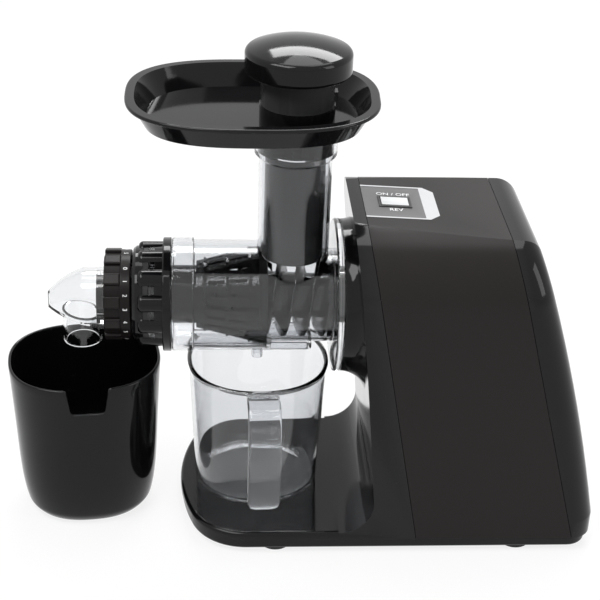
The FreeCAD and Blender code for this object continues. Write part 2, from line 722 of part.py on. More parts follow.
def gearbox_block(x0, x1, inset):
    top = AXIS_Z + GEARBOX_HALF_W - inset
    half_w = GEARBOX_HALF_W - inset
    low = MOTOR_Z - 16 + inset
    block = box(x0, x1, -half_w, half_w, low, top)
    return rounded(block, 20.0 - inset, lambda e: e.BoundBox.XLength > abs(x1 - x0) - 0.1)


def make_gearbox_case():
    """Cup with the back plate, open towards the drum, on two legs."""
    front = GEARBOX_FRONT_X + GEARBOX_T
    case = gearbox_block(front, GEARBOX_BACK_X, 0)
    case = case.cut(gearbox_block(front - 1, GEARBOX_BACK_X - GEARBOX_T, 2.5))
    for y in (-PEDESTAL_Y, PEDESTAL_Y):
        leg = box(PEDESTAL_X0, PEDESTAL_X1, y - 5, y + 5, PEDESTAL_Z, MOTOR_Z + 4)
        leg = leg.cut(gearbox_block(front - 1, GEARBOX_BACK_X - GEARBOX_T, 2.5))
        case = case.fuse(leg)
    back = GEARBOX_BACK_X - GEARBOX_T - 1
    case = case.cut(cyl_x(OUTPUT_SHAFT_R + BUSH_T, back, GEARBOX_BACK_X + 1))
    case = case.cut(cyl_x(LAY_SHAFT_R + BUSH_T, back, GEARBOX_BACK_X + 1, 0, LAY_Z))
    return case.cut(cyl_x(MOTOR_SHAFT_R + BUSH_T + 1, back, GEARBOX_BACK_X + 1, 0, MOTOR_Z))


def make_gearbox_cover():
    end = GEARBOX_FRONT_X + GEARBOX_T
    cover = gearbox_block(GEARBOX_FRONT_X, end, 0)
    cover = cover.cut(cyl_x(OUTPUT_SHAFT_R + BUSH_T, GEARBOX_FRONT_X - 1, end + 1))
    return cover.cut(cyl_x(LAY_SHAFT_R + BUSH_T, GEARBOX_FRONT_X - 1, end + 1, 0, LAY_Z))


def make_bushes():
    """Plain bearings of the output shaft, the layshaft and the motor shaft."""
    front = (GEARBOX_FRONT_X, GEARBOX_FRONT_X + GEARBOX_T)
    back = (GEARBOX_BACK_X - GEARBOX_T, GEARBOX_BACK_X)
    bushes = []
    for x0, x1 in (front, back):
        bushes.append(tube_x(OUTPUT_SHAFT_R + BUSH_T, OUTPUT_SHAFT_R + RUN_FIT, x0, x1))
        bushes.append(tube_x(LAY_SHAFT_R + BUSH_T, LAY_SHAFT_R + RUN_FIT, x0, x1, 0, LAY_Z))
    motor_front = (GEARBOX_BACK_X, GEARBOX_BACK_X + 4)
    motor_back = (MOTOR_BACK_X - 4, MOTOR_BACK_X)
    for x0, x1 in (motor_front, motor_back):
        bushes.append(tube_x(MOTOR_SHAFT_R + BUSH_T, MOTOR_SHAFT_R + RUN_FIT, x0, x1, 0, MOTOR_Z))
    return Part.Compound(bushes)


def make_shaft_seal():
    return tube_x(OUTPUT_SHAFT_R + 4, OUTPUT_SHAFT_R + RUN_FIT, SOCKET_FLOOR_X + 0.6,
                  SOCKET_FLOOR_X + BULKHEAD_T)


def make_circuit_board():
    x0 = GEARBOX_BACK_X + 22
    board = box(x0, x0 + BOARD_LEN, -BOARD_W / 2, BOARD_W / 2, BOARD_Z, BOARD_Z + BOARD_T)
    top = BOARD_Z + BOARD_T
    relay = box(x0 + 8, x0 + 24, -20, -6, top, top + 11)
    capacitor = cyl_x(5.0, x0 + 12, x0 + 34, 14, top + 5)
    seat = box(x0 + 14, x0 + 32, 12, 16, top, top + 2)
    return board.fuse(relay).fuse(capacitor).fuse(seat)


def make_cord_gland():
    """Rubber gland where the mains lead leaves the back."""
    skin_x = rear_face_x(GLAND_Z)
    inner = skin_x - WALL
    body = cyl_x(GLAND_R - 0.1, inner - 2, skin_x, GLAND_Y, GLAND_Z)
    flange = cyl_x(GLAND_R + 2, skin_x + 0.2, skin_x + 2, GLAND_Y, GLAND_Z)
    nose = Part.makeCone(GLAND_R, GLAND_R - 1.6, GLAND_OUT, V(skin_x, GLAND_Y, GLAND_Z), X_AXIS)
    bore = cyl_x(3.4, inner - 3, skin_x + GLAND_OUT + 1, GLAND_Y, GLAND_Z)
    skin = housing_skin().cut(cyl_x(GLAND_R, REAR_X - 20, REAR_X + 5, GLAND_Y, GLAND_Z))
    return body.fuse(flange).fuse(nose).cut(bore).cut(skin)


def rear_face_x(z):
    """Back face of the rear cover at a height below its lower arc."""
    probe = cyl_x(0.5, REAR_MID_X, REAR_X + 20, 0, z)
    return body_block(0).common(probe).BoundBox.XMax


# Clear drum

def make_drum():
    inner_r = DRUM_R - DRUM_WALL
    feed_bore = FEED_R - DRUM_WALL
    flange_back = COLLAR_FACE_X - SLIDE_FIT
    flange_front = flange_back - DRUM_FLANGE_T
    drum = cyl_x(SPIGOT_R, SPIGOT_END_X, DRUM_END_X + 2)
    drum = drum.fuse(rounded(cyl_x(END_COLLAR_R, DRUM_END_X, DRUM_FACE_X), 1.2, lambda e: True))
    drum = drum.fuse(cyl_x(DRUM_R, DRUM_FACE_X - 2, STEP_X))
    drum = drum.fuse(cyl_x(STEP_RING_R, STEP_X - 1, STEP_X - 1 + STEP_RING_W))
    drum = drum.fuse(cyl_x(FEED_R, STEP_X, flange_back))
    flange = rounded(cyl_x(DRUM_FLANGE_R, flange_front, flange_back), 1.6, lambda e: True)
    hub = cyl_x(SOCKET_R - SLIDE_FIT, flange_back - 1, SOCKET_FLOOR_X - 2)
    drum = drum.fuse(flange).fuse(hub)
    trough = box(TROUGH_NOSE_X, TROUGH_TAIL_X, -TROUGH_HALF_W, TROUGH_HALF_W, TROUGH_Z, AXIS_Z)
    trough = rounded(trough, 5.0, lambda e: e.BoundBox.ZMax < TROUGH_Z + 0.1)
    drum = drum.fuse(trough)
    drum = drum.fuse(cyl_z(SPOUT_R, JUG_TOP + 2 * SLIDE_FIT, TROUGH_Z + 5, SPOUT_X))
    drum = drum.fuse(cyl_z(CHUTE_R, AXIS_Z, CHUTE_TOP))
    drum = drum.fuse(turned_z([(0, CHUTE_FLARE_Z - 3), (CHUTE_R, CHUTE_FLARE_Z - 3),
                               (CHUTE_FLARE_R, CHUTE_FLARE_Z), (CHUTE_FLARE_R, CHUTE_TOP), (0, CHUTE_TOP)]))
    hollow = cyl_x(inner_r, CHAMBER_X, STEP_X)
    hollow = hollow.fuse(cyl_x(SPIGOT_R - 3, SPIGOT_END_X - 1, CHAMBER_X + 1))
    hollow = hollow.fuse(cyl_x(feed_bore, STEP_X - 1, flange_front))
    hollow = hollow.fuse(cyl_x(SOCKET_R - SLIDE_FIT - DRUM_WALL, flange_back, SOCKET_FLOOR_X))
    hollow = hollow.fuse(cyl_x(AUGER_SEAL_R, flange_front - 1, flange_back + 1))
    channel_w = TROUGH_HALF_W - DRUM_WALL
    channel = box(TROUGH_NOSE_X + 4, STEP_X + 1, -channel_w, channel_w, TROUGH_Z + DRUM_WALL, AXIS_Z - 25)
    hollow = hollow.fuse(channel)
    under = box(STEP_X + 4, TROUGH_TAIL_X - DRUM_WALL, -channel_w, channel_w,
                TROUGH_Z + DRUM_WALL, AXIS_Z - FEED_R - 0.5)
    passage = box(STEP_X - 2, STEP_X + 5, -4, 4, TROUGH_Z + DRUM_WALL, TROUGH_Z + DRUM_WALL + 4)
    hollow = hollow.fuse(under).fuse(passage)
    hollow = hollow.fuse(cyl_z(SPOUT_BORE_R, JUG_TOP - 1, TROUGH_Z + 6, SPOUT_X))
    hollow = hollow.fuse(cyl_z(CHUTE_BORE_R, AXIS_Z, CHUTE_TOP + 1))
    hollow = hollow.fuse(cyl_z(CHUTE_SEAT_R, TRAY_SPIGOT_Z - 1, CHUTE_TOP + 1))
    return drum.cut(hollow)


def make_auger_seal():
    """Soft ring in the drum's back wall, round the auger's neck."""
    flange_back = COLLAR_FACE_X - SLIDE_FIT
    return tube_x(AUGER_SEAL_R, AUGER_NECK_R + RUN_FIT, flange_back - DRUM_FLANGE_T, flange_back)


def make_strainer():
    """Conical screen with two rings of slots, a rim at the back and a tube at the front."""
    slope = (STRAINER_RIM_R - STRAINER_NOSE_R) / (STRAINER_RIM_X - STRAINER_NOSE_X)
    rim_r = DRUM_R - DRUM_WALL - SLIDE_FIT
    rim_end = STEP_X - 0.1
    wall = STRAINER_WALL
    outline = [
        (STRAINER_TUBE_X, STRAINER_TUBE_R), (STRAINER_NOSE_X, STRAINER_TUBE_R),
        (STRAINER_NOSE_X, STRAINER_NOSE_R), (STRAINER_RIM_X, STRAINER_RIM_R), (STRAINER_RIM_X, rim_r),
        (rim_end, rim_r), (rim_end, STRAINER_RIM_R - wall), (STRAINER_RIM_X, STRAINER_RIM_R - wall),
        (STRAINER_NOSE_X + wall, STRAINER_NOSE_R - wall + slope * wall),
        (STRAINER_NOSE_X + wall, STRAINER_TUBE_R - wall), (STRAINER_TUBE_X, STRAINER_TUBE_R - wall),
    ]
    screen = turned_x(outline)
    ribs = []
    for x in (STRAINER_NOSE_X + 6, (STRAINER_NOSE_X + STRAINER_RIM_X) / 2, STRAINER_RIM_X - 6):
        radius = STRAINER_NOSE_R + slope * (x - STRAINER_NOSE_X)
        ribs.append(tube_x(radius + 1.0, radius - 0.6, x - 0.9, x + 0.9))
    start = STRAINER_NOSE_X + 8
    middle = (STRAINER_NOSE_X + STRAINER_RIM_X) / 2
    for x0, x1 in ((start, middle - 2), (middle + 2, STRAINER_RIM_X - 8)):
        slot = box(x0, x1, -STRAINER_SLOT_W / 2, STRAINER_SLOT_W / 2, AXIS_Z, AXIS_Z + DRUM_R)
        for cut in around_x(slot, STRAINER_SLOTS, 9.0):
            screen = screen.cut(cut)
    for rib in ribs:
        screen = screen.fuse(rib)
    return screen.cut(cyl_z(CHUTE_BORE_R, AXIS_Z + FEED_R - 8, AXIS_Z + DRUM_R))


def make_auger():
    """Tapering core with a back disc and a hexagonal drive. Its helical flights are not modelled."""
    core = turned_x([(AUGER_TIP_X - 12, 0), (AUGER_TIP_X - 12, 7), (AUGER_TIP_X - 2, AUGER_TIP_CORE_R),
                     (AUGER_TIP_X + 8, AUGER_TIP_CORE_R + 2), (STEP_X, AUGER_CORE_R),
                     (AUGER_BACK_X, AUGER_CORE_R - 2), (AUGER_BACK_X, 0)])
    disc = cyl_x(FEED_R - DRUM_WALL - AUGER_GAP, AUGER_BACK_X - 4, AUGER_BACK_X)
    neck = cyl_x(AUGER_NECK_R, AUGER_BACK_X - 1, COLLAR_FACE_X + 2)
    drive = hex_bar(HEX_AF, COLLAR_FACE_X + 1, HEX_END_X)
    return core.fuse(disc).fuse(neck).fuse(drive)


# Nozzle end

def make_locking_ring():
    """Scalloped ring with a flange at the back and a lip that holds the end cap."""
    flange = rounded(cyl_x(LOCK_FLANGE_R, LOCK_BACK_X - LOCK_FLANGE_W, LOCK_BACK_X), 1.0, lambda e: True)
    shoulder_x = LOCK_BACK_X - LOCK_FLANGE_W
    barrel = turned_x([(LOCK_FRONT_X, 0), (LOCK_FRONT_X, LOCK_R - 5), (LOCK_FRONT_X + 2, LOCK_R - 3.4),
                       (shoulder_x, LOCK_R - 2.4), (shoulder_x + 1, 0)])
    lobe_r = math.pi * LOCK_R / LOBES * 0.72
    lobe = cyl_x(lobe_r, LOCK_FRONT_X + lobe_r * 0.5, shoulder_x + 0.5, 0, AXIS_Z + LOCK_R - lobe_r)
    lobe = rounded(lobe, lobe_r * 0.45, lambda e: e.BoundBox.XMax < LOCK_FRONT_X + lobe_r * 0.5 + 0.1)
    ring = flange.fuse(barrel)
    for copy in around_x(lobe, LOBES, LOBE_PHASE):
        ring = ring.fuse(copy)
    ring = ring.cut(cyl_x(SPIGOT_R + SLIDE_FIT, LOCK_CAVITY_X, LOCK_BACK_X + 1))
    return ring.cut(cyl_x(LOCK_MOUTH_R, LOCK_FRONT_X - 1, LOCK_CAVITY_X + 1))


def make_end_cap():
    """Cap over the drum's front with the pulp nozzle standing out of it."""
    disc = cyl_x(SPIGOT_R, CAP_FRONT_X, CAP_BACK_X)
    boss = cyl_x(NOZZLE_R + 3, CAP_FRONT_X - 4, CAP_FRONT_X)
    nozzle = cyl_x(NOZZLE_R, NOZZLE_END_X, CAP_FRONT_X)
    return disc.fuse(boss).fuse(nozzle).cut(cyl_x(NOZZLE_BORE_R, NOZZLE_END_X - 1, CAP_BACK_X + 1))


def make_dial():
    """Adjusting ring with a number band and grip lugs."""
    band_x = DIAL_FACE_X + DIAL_LUG_LEN
    outer = cyl_x(DIAL_BASE_R, DIAL_FACE_X, band_x + 1)
    outer = rounded(outer, 1.2, lambda e: e.BoundBox.XMax < DIAL_FACE_X + 0.1)
    outer = outer.fuse(rounded(cyl_x(DIAL_BAND_R, band_x, DIAL_BACK_X), 0.8, lambda e: True))
    lug_half = math.pi * DIAL_R / LOBES * 0.5
    lug = box(DIAL_FACE_X, band_x + 0.5, -lug_half, lug_half, AXIS_Z + DIAL_BASE_R - 3, AXIS_Z + DIAL_R)
    lug = rounded(lug, 1.2, lambda e: e.BoundBox.ZMin > AXIS_Z + DIAL_BASE_R - 2 or e.BoundBox.ZLength > 2
                  and e.BoundBox.XMax < DIAL_FACE_X + 0.1)
    for copy in around_x(lug, LOBES, LOBE_PHASE):
        outer = outer.fuse(copy)
    hollow = tube_x(DIAL_BASE_R - DIAL_WALL, NOZZLE_R + 3, DIAL_FACE_X + DIAL_WALL, DIAL_BACK_X - DIAL_WALL)
    slit = cyl_x(DIAL_BASE_R - DIAL_WALL, DIAL_BACK_X - DIAL_WALL - 1, DIAL_BACK_X + 1)
    slit = slit.cut(cyl_x(NOZZLE_R + 3, DIAL_BACK_X - 6, DIAL_BACK_X + 2))
    outer = outer.cut(hollow).cut(slit)
    return outer.cut(cyl_x(NOZZLE_R + RUN_FIT, DIAL_FACE_X - 1, DIAL_BACK_X + 1))


def make_outlet_valve():
    """Soft sleeve that narrows the pulp outlet as the dial turns."""
    x0 = NOZZLE_END_X + VALVE_TRAVEL + 1.5
    outer = NOZZLE_BORE_R - RUN_FIT
    sleeve = turned_x([(x0, outer), (x0 + VALVE_LEN, outer), (x0 + VALVE_LEN, outer - 1.6),
                       (x0 + 2, outer - 5), (x0, outer - 5)])
    return sleeve


def hood_profile(inset):
    """Half outline of the hood's dome as edges from its open back to its tip."""
    radius = HOOD_R - inset
    back = V(HOOD_BACK_X, 0, AXIS_Z + radius)
    shoulder = V(HOOD_SHOULDER_X, 0, AXIS_Z + radius - 0.4)
    tip = V(HOOD_TIP_X + inset, 0, AXIS_Z + 2.0)
    middle_x = HOOD_SHOULDER_X * 0.41 + (HOOD_TIP_X + inset) * 0.59
    middle = V(middle_x, 0, AXIS_Z + radius * 0.60)
    nose = V(tip.x, 0, AXIS_Z)
    foot = V(HOOD_BACK_X, 0, AXIS_Z)
    return [line(foot, back), line(back, shoulder), arc(shoulder, middle, tip),
            line(tip, nose), line(nose, foot)]


def hood_form(inset):
    """Half-round dome over straight sides that end on a sloping floor."""
    face = Part.Face(Part.Wire(Part.__sortEdges__(hood_profile(inset))))
    dome = face.revolve(V(0, 0, AXIS_Z), X_AXIS, 360)
    plan = face.copy()
    plan.rotate(V(0, 0, AXIS_Z), X_AXIS, 90)
    other = face.copy()
    other.rotate(V(0, 0, AXIS_Z), X_AXIS, -90)
    depth = AXIS_Z - HOOD_SPOUT_Z
    skirt = plan.extrude(V(0, 0, -depth)).fuse(other.extrude(V(0, 0, -depth)))
    above = box(HOOD_TIP_X - 5, HOOD_BACK_X + 5, -30, 30, AXIS_Z, AXIS_Z + 40)
    floor = inset
    slope_points = [V(HOOD_TIP_X - 5, -30, HOOD_TIP_FLOOR_Z + floor + 1.0),
                    V(HOOD_BACK_X + 5, -30, HOOD_BACK_FLOOR_Z + floor - 1.0),
                    V(HOOD_BACK_X + 5, -30, AXIS_Z + 40), V(HOOD_TIP_X - 5, -30, AXIS_Z + 40)]
    keep = Part.Face(polygon(slope_points)).extrude(V(0, 60, 0))
    return dome.common(above).fuse(skirt.common(keep)).removeSplitter()


def make_hood():
    outer = hood_form(0)
    pipe = cyl_z(HOOD_SPOUT_R, HOOD_SPOUT_Z, AXIS_Z - 8, HOOD_SPOUT_X)
    sleeve = cyl_x(HOOD_R, HOOD_BACK_X - 4, HOOD_BACK_X)
    hood = outer.fuse(pipe.common(hood_reach())).fuse(sleeve)
    hood = hood.cut(hood_form(HOOD_WALL).cut(box(HOOD_BACK_X - 5, 0, -40, 40, 0, 300)))
    hood = hood.cut(cyl_x(NOZZLE_R + RUN_FIT, HOOD_BACK_X - 6, HOOD_BACK_X + 1))
    return hood.cut(cyl_z(HOOD_SPOUT_R - HOOD_WALL, HOOD_SPOUT_Z - 1, AXIS_Z - 5, HOOD_SPOUT_X))


def hood_reach():
    return box(HOOD_SPOUT_X - 40, HOOD_SPOUT_X + 40, -40, 40, HOOD_SPOUT_Z, HOOD_TIP_FLOOR_Z)


# Tray and pusher

def make_tray():
    """Oval dish with a rolled lip, a ring round the feed hole and a spigot below."""
    def dish(inset, drop, z_extra):
        rim = oval(TRAY_HALF_L - inset, TRAY_HALF_W - inset, TRAY_POWER, TRAY_RIM_Z + z_extra, TRAY_X)
        low_l = TRAY_HALF_L - TRAY_DRAFT - inset
        low_w = TRAY_HALF_W - TRAY_DRAFT - inset
        low = oval(low_l, low_w, TRAY_POWER, TRAY_FLOOR_Z - drop, TRAY_X)
        return Part.makeLoft([low, rim], True, True)
    lip_face = Part.Face(oval(TRAY_HALF_L, TRAY_HALF_W, TRAY_POWER, TRAY_RIM_Z - 2.6, TRAY_X))
    lip = lip_face.extrude(V(0, 0, 2.6))
    lip = rounded(lip, 1.1, lambda e: True)
    tray = dish(TRAY_LIP, TRAY_WALL, -1.0).fuse(lip).cut(dish(TRAY_LIP + TRAY_WALL, 0, 2.0))
    spigot_r = CHUTE_SEAT_R - SLIDE_FIT
    tray = tray.fuse(cyl_z(TRAY_RING_R, TRAY_FLOOR_Z - 1, TRAY_RING_TOP))
    tray = tray.fuse(cyl_z(CHUTE_FLARE_R, CHUTE_TOP + SLIDE_FIT, TRAY_FLOOR_Z))
    tray = tray.fuse(cyl_z(spigot_r, TRAY_SPIGOT_Z + SLIDE_FIT, TRAY_FLOOR_Z))
    return tray.cut(cyl_z(CHUTE_BORE_R, TRAY_SPIGOT_Z - 1, TRAY_RING_TOP + 1))


def make_pusher():
    """Round shaft with a closed foot and a wider neck that rests on the tray's ring."""
    neck_z = TRAY_RING_TOP + SLIDE_FIT
    body = cyl_z(PUSHER_R, PUSHER_FOOT_Z, neck_z + 1).fuse(cyl_z(NECK_R, neck_z, NECK_TOP))
    body = rounded(body, 1.2, lambda e: e.BoundBox.ZMax < PUSHER_FOOT_Z + 0.1)
    lug = box(NECK_R - 1, NECK_R + 1.8, -4, 4, neck_z + 3, neck_z + 9)
    body = body.fuse(lug)
    return body.cut(cyl_z(PUSHER_R - PUSHER_WALL, PUSHER_FOOT_Z + 3, NECK_TOP + 1))


def make_pusher_cap():
    """Mushroom-shaped grip over the neck."""
    rim_z = NECK_TOP
    dome_rise = CAP_H - CAP_SIDE_H
    dome_r = (CAP_R ** 2 + dome_rise ** 2) / (2 * dome_rise)
    ball = Part.makeSphere(dome_r, V(0, 0, rim_z + CAP_H - dome_r))
    solid = cyl_z(CAP_R, rim_z, rim_z + CAP_H).common(ball)
    solid = rounded(solid, CAP_EDGE_R, lambda e: abs(e.BoundBox.ZMin - rim_z - CAP_SIDE_H) < 0.5
                    and e.BoundBox.ZLength < 0.5)
    solid = rounded(solid, CAP_EDGE_R * 0.6, lambda e: e.BoundBox.ZMax < rim_z + 0.1)
    return solid.cut(cyl_z(PUSHER_R - PUSHER_WALL, rim_z - 1, rim_z + 6))


# Jug and pulp cup

def jug_form(inset, z0, top):
    rim = JUG_R - inset
    foot = JUG_FOOT_R - inset
    corner = max(6.0 - inset, 2.0)
    height = top - z0
    sections = []
    for share, radius in ((0.0, foot - corner), (0.25 * corner / height, foot - 0.45 * corner),
                          (corner / height, foot), (0.5, (foot + rim) / 2), (1.0, rim)):
        sections.append(oval(radius, radius, JUG_POWER, z0 + share * height, 0, 16))
    return Part.makeLoft(sections, True, True)


def make_jug():
    z0 = PLATE_Z + JUG_SEAT_GAP
    jug = jug_form(0, z0, JUG_TOP)
    bead = Part.Face(oval(JUG_R + 1.2, JUG_R + 1.2, JUG_POWER, JUG_TOP - 2.4, 0, 16)).extrude(V(0, 0, 2.4))
    bead = rounded(bead, 1.0, lambda e: True)
    spout = Part.makeCone(1.0, 13.0, 46.0, V(0, JUG_R - 9, JUG_TOP - 46), V(0, 0.06, 1))
    spout = spout.common(box(-30, 30, 0, 80, JUG_TOP - 46, JUG_TOP))
    arm = make_handle()
    jug = jug.fuse(bead).fuse(spout).fuse(arm)
    inner_foot = V(0, JUG_R - 9, JUG_TOP - 44)
    inner_spout = Part.makeCone(0.5, 13.0 - JUG_WALL + 1.0, 48.0, inner_foot, V(0, 0.06, 1))
    jug = jug.cut(jug_form(JUG_WALL, z0 + JUG_WALL + 0.4, JUG_TOP + 0.5)).cut(inner_spout)
    jug.rotate(V(0, 0, 0), Z_AXIS, JUG_TURN)
    jug.translate(V(JUG_X, 0, 0))
    return jug


def make_handle():
    """Open-ended handle that leaves the rim, turns down and ends in a round tip."""
    root = -(JUG_R - 2.5)
    out = -(JUG_R + HANDLE_REACH - HANDLE_T / 2)
    height = JUG_TOP - HANDLE_T / 2 - 0.4
    bend = HANDLE_BEND
    turn = bend * (1 - math.sqrt(0.5))
    path = Part.Wire([
        line(V(0, root, height), V(0, out + bend, height)),
        arc(V(0, out + bend, height), V(0, out + turn, height - turn), V(0, out, height - bend)),
        line(V(0, out, height - bend), V(0, out, HANDLE_FOOT_Z)),
    ])
    section = box(-HANDLE_W / 2, HANDLE_W / 2, root, root + 1, height - HANDLE_T / 2, height + HANDLE_T / 2)
    section = rounded(section, HANDLE_T * 0.3, lambda e: e.BoundBox.YLength > 0.9)
    ends = [face for face in section.Faces if face.BoundBox.YMax < root + 0.01]
    arm = path.makePipeShell([ends[0].OuterWire], True, False)
    return rounded(arm, HANDLE_T * 0.42, lambda e: e.BoundBox.ZMax < HANDLE_FOOT_Z + 0.1
                   and e.BoundBox.XLength > HANDLE_W / 2)


def cup_form(inset, z0, top):
    height = top - z0
    profile = ((0.0, 0.70), (0.02, 0.765), (0.08, 0.85), (0.28, 0.915), (0.62, 0.955), (1.0, 1.0))
    sections = []
    for share, scale in profile:
        half_x = CUP_RX * scale - inset
        half_y = CUP_RY * scale - inset
        sections.append(oval(half_x, half_y, CUP_POWER, z0 + share * height, 0, 16))
    return Part.makeLoft(sections, True, True)


def make_cup():
    cup = cup_form(0, 0.0, CUP_TOP).cut(cup_form(CUP_WALL, CUP_WALL + 0.4, CUP_TOP + 0.4))
    notch = box(-NOTCH_W / 2, NOTCH_W / 2, -CUP_RY - 10, -CUP_RY + 14, CUP_TOP - NOTCH_DEPTH, CUP_TOP + 5)
    notch = rounded(notch, 6.0, lambda e: e.BoundBox.ZMax < CUP_TOP - NOTCH_DEPTH + 0.1
                    and e.BoundBox.YLength > 5)
    cup = cup.cut(notch)
    cup.rotate(V(0, 0, 0), Z_AXIS, CUP_TURN)
    cup.translate(V(CUP_X, 0, 0))
    return cup


PIECES = {
    "base_shell": make_base_shell,
    "bottom_pan": make_bottom_pan,
    "feet": make_feet,
    "base_screws": make_base_screws,
    "wrap_cover": make_wrap_cover,
    "rear_cover": make_rear_cover,
    "panel_plate": make_panel_plate,
    "panel_trim": make_panel_trim,
    "switch_body": make_switch_body,
    "rocker": make_rocker,
    "cord_gland": make_cord_gland,
    "circuit_board": make_circuit_board,
    "gearbox_case": make_gearbox_case,
    "gearbox_cover": make_gearbox_cover,
    "bushes": make_bushes,
    "shaft_seal": make_shaft_seal,
    "output_shaft": make_output_shaft,
    "output_gear": make_output_gear,
    "lay_gear": make_lay_gear,
    "rotor": make_rotor,
    "stator": make_stator,
    "motor_can": make_motor_can,
    "motor_end_cap": make_motor_end_cap,
    "drum": make_drum,
    "auger_seal": make_auger_seal,
    "strainer": make_strainer,
    "auger": make_auger,
    "locking_ring": make_locking_ring,
    "end_cap": make_end_cap,
    "dial": make_dial,
    "outlet_valve": make_outlet_valve,
    "hood": make_hood,
    "tray": make_tray,
    "pusher": make_pusher,
    "pusher_cap": make_pusher_cap,
    "jug": make_jug,
    "pulp_cup": make_cup,
}


def main():
    os.makedirs("parts", exist_ok=True)
    shapes = {name: make() for name, make in PIECES.items()}
    whole = FreeCAD.BoundBox()
    for shape in shapes.values():
        whole.add(shape.optimalBoundingBox())
    shift = V(-whole.Center.x, -whole.Center.y, -whole.ZMin)
    print("origin shift", shift)
    for name, shape in shapes.items():
        shape.translate(shift)
        shape.exportStep(os.path.join("parts", name + ".step"))


main()
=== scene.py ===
import json
import math

import bmesh
import bpy
from mathutils import Euler, Matrix, Vector


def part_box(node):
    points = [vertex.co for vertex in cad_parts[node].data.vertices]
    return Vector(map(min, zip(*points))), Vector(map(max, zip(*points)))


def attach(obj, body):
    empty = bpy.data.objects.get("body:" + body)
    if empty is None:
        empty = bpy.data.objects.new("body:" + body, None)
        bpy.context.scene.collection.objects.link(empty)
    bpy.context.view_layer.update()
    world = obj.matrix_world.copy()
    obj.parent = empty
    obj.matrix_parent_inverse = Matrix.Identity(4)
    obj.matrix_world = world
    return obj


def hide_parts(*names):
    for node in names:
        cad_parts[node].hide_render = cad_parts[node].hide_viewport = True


# Looks of a horizontal cold press juicer. Lengths are in metres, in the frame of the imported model.

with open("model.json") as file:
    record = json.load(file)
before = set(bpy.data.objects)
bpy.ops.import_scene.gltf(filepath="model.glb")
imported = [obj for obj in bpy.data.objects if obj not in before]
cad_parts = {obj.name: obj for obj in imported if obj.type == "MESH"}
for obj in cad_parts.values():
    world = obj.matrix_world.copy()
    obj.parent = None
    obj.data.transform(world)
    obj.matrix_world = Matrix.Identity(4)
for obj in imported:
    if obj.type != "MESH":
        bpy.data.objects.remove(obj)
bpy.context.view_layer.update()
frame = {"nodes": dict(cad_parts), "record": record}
NODES = frame["nodes"]

# Camera at the photograph's viewing angle
CAMERA_PLACE = (-0.07091, -0.91179, 0.66352)
CAMERA_TURN_DEG = (61.4467, -1.7984, -3.0651)
CAMERA_LENS_MM = 88.147
SENSOR_MM = 36.0

# Sizes of the modelled pieces
CUP_TURN_DEG = 6.4
CUP_POWER = 2.35
CUP_WALL = 0.0022
CUP_PROFILE = ((0.0, 0.70), (0.02, 0.765), (0.08, 0.85), (0.28, 0.915), (0.62, 0.955), (1.0, 1.0))
CUP_HALF_X = 0.0541
CUP_HALF_Y = 0.0487
NOTCH_HALF_W = 0.0135
NOTCH_DEPTH = 0.020
NOTCH_SOFT = 0.004
JUG_TURN_DEG = 2.5
JUG_POWER = 2.2
JUG_WALL = 0.0020
JUG_TOP_R = 0.0498
JUG_FOOT_R = 0.0450
JUG_PROFILE = ((0.0, 0.866), (0.015, 0.94), (0.06, 1.0), (1.0, 1.0))
LIP_REACH = 0.0060
LIP_HALF_ANGLE = 0.42
LIP_START = 0.45
JUG_ROUND_END = 0.06
JUG_BEAD = 0.0012
BEAD_START = 0.965
JUG_FROM_CHUTE = -0.0228
HANDLE_T = 0.006
HANDLE_HALF_W = 0.0115
HANDLE_REACH = 0.028
HANDLE_BEND = 0.013
HANDLE_FOOT_Z = 0.038
ROUND_TIP_ROWS = 3
FLIGHT_STARTS = 2
FLIGHT_LEAD = 0.027
FLIGHT_STEPS = 180
FLIGHT_ROOT_R = 0.014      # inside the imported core, but for 0.1 mm at the very tip
FLIGHT_HALF_ROOT = 0.0034
FLIGHT_HALF_CREST = 0.0011
FLIGHT_FADE = 0.010        # length over which a flight rises out of the core at the tip
FLIGHT_TIP = 0.012         # from the auger's front end to the start of the flights
FLIGHT_END = 0.0350        # from the auger's back end to the end of the flights, inside its disc
FLIGHT_FIRST_SHARE = 0.15  # share of the height that a flight has where it starts
SHOULDER_DROP = 0.6        # these three are shares of the crest's half thickness
WAIST_HALF = 1.5
CREST_TOP_HALF = 0.5
# Outer limit of the flights, as distance from the auger's front end and radius: screen, step, feed section
FLIGHT_LIMIT = ((0.0, 0.0211), (0.0124, 0.0211), (0.0524, 0.0312), (0.0594, 0.0301), (0.2, 0.0301))
FLIGHT_CLEARANCE = 0.0002
DIGIT_H = 0.0042
WORD_H = 0.0056
LETTER_T = 0.0002
DIAL_BAND_R = 0.0314
BAND_MIDDLE = 0.0037    # from the dial's back edge to the middle of its number band
FIRST_DIGIT_DEG = -28.0
DIGIT_STEP_DEG = 18.0
PANEL_SLOPE_DEG = 2.78
WORD_FAR_Y = 0.0125
WORD_NEAR_Y = 0.0125
LETTER_LIFT = 0.6          # share of a letter's thickness that its middle stands above the panel
NUMBER_SETS = 3
DIGITS = 6
CUP_COLUMNS = 280
JUG_COLUMNS = 192
SIDE_ROWS = 44
FOOT_CROWDING = 1.8        # rows crowd towards the foot, where the side rounds over
RIM_STEPS = 6
DISC_STEPS = 4
HANDLE_TUCK = 0.0004       # the handle's overlap with the jug's side, and its drop below the rim
HANDLE_BEND_START = 1.4    # in bends, from the handle's outer face
BEND_STEPS = 12
HANDLE_ROWS = 24
STRAP_CORNER = 0.4         # corner radius as a share of the strap's thickness
STRAP_CORNER_POINTS = 6
TIP_WIDTH_SHARE = 0.35
TIP_LEAST_THICK = 0.08

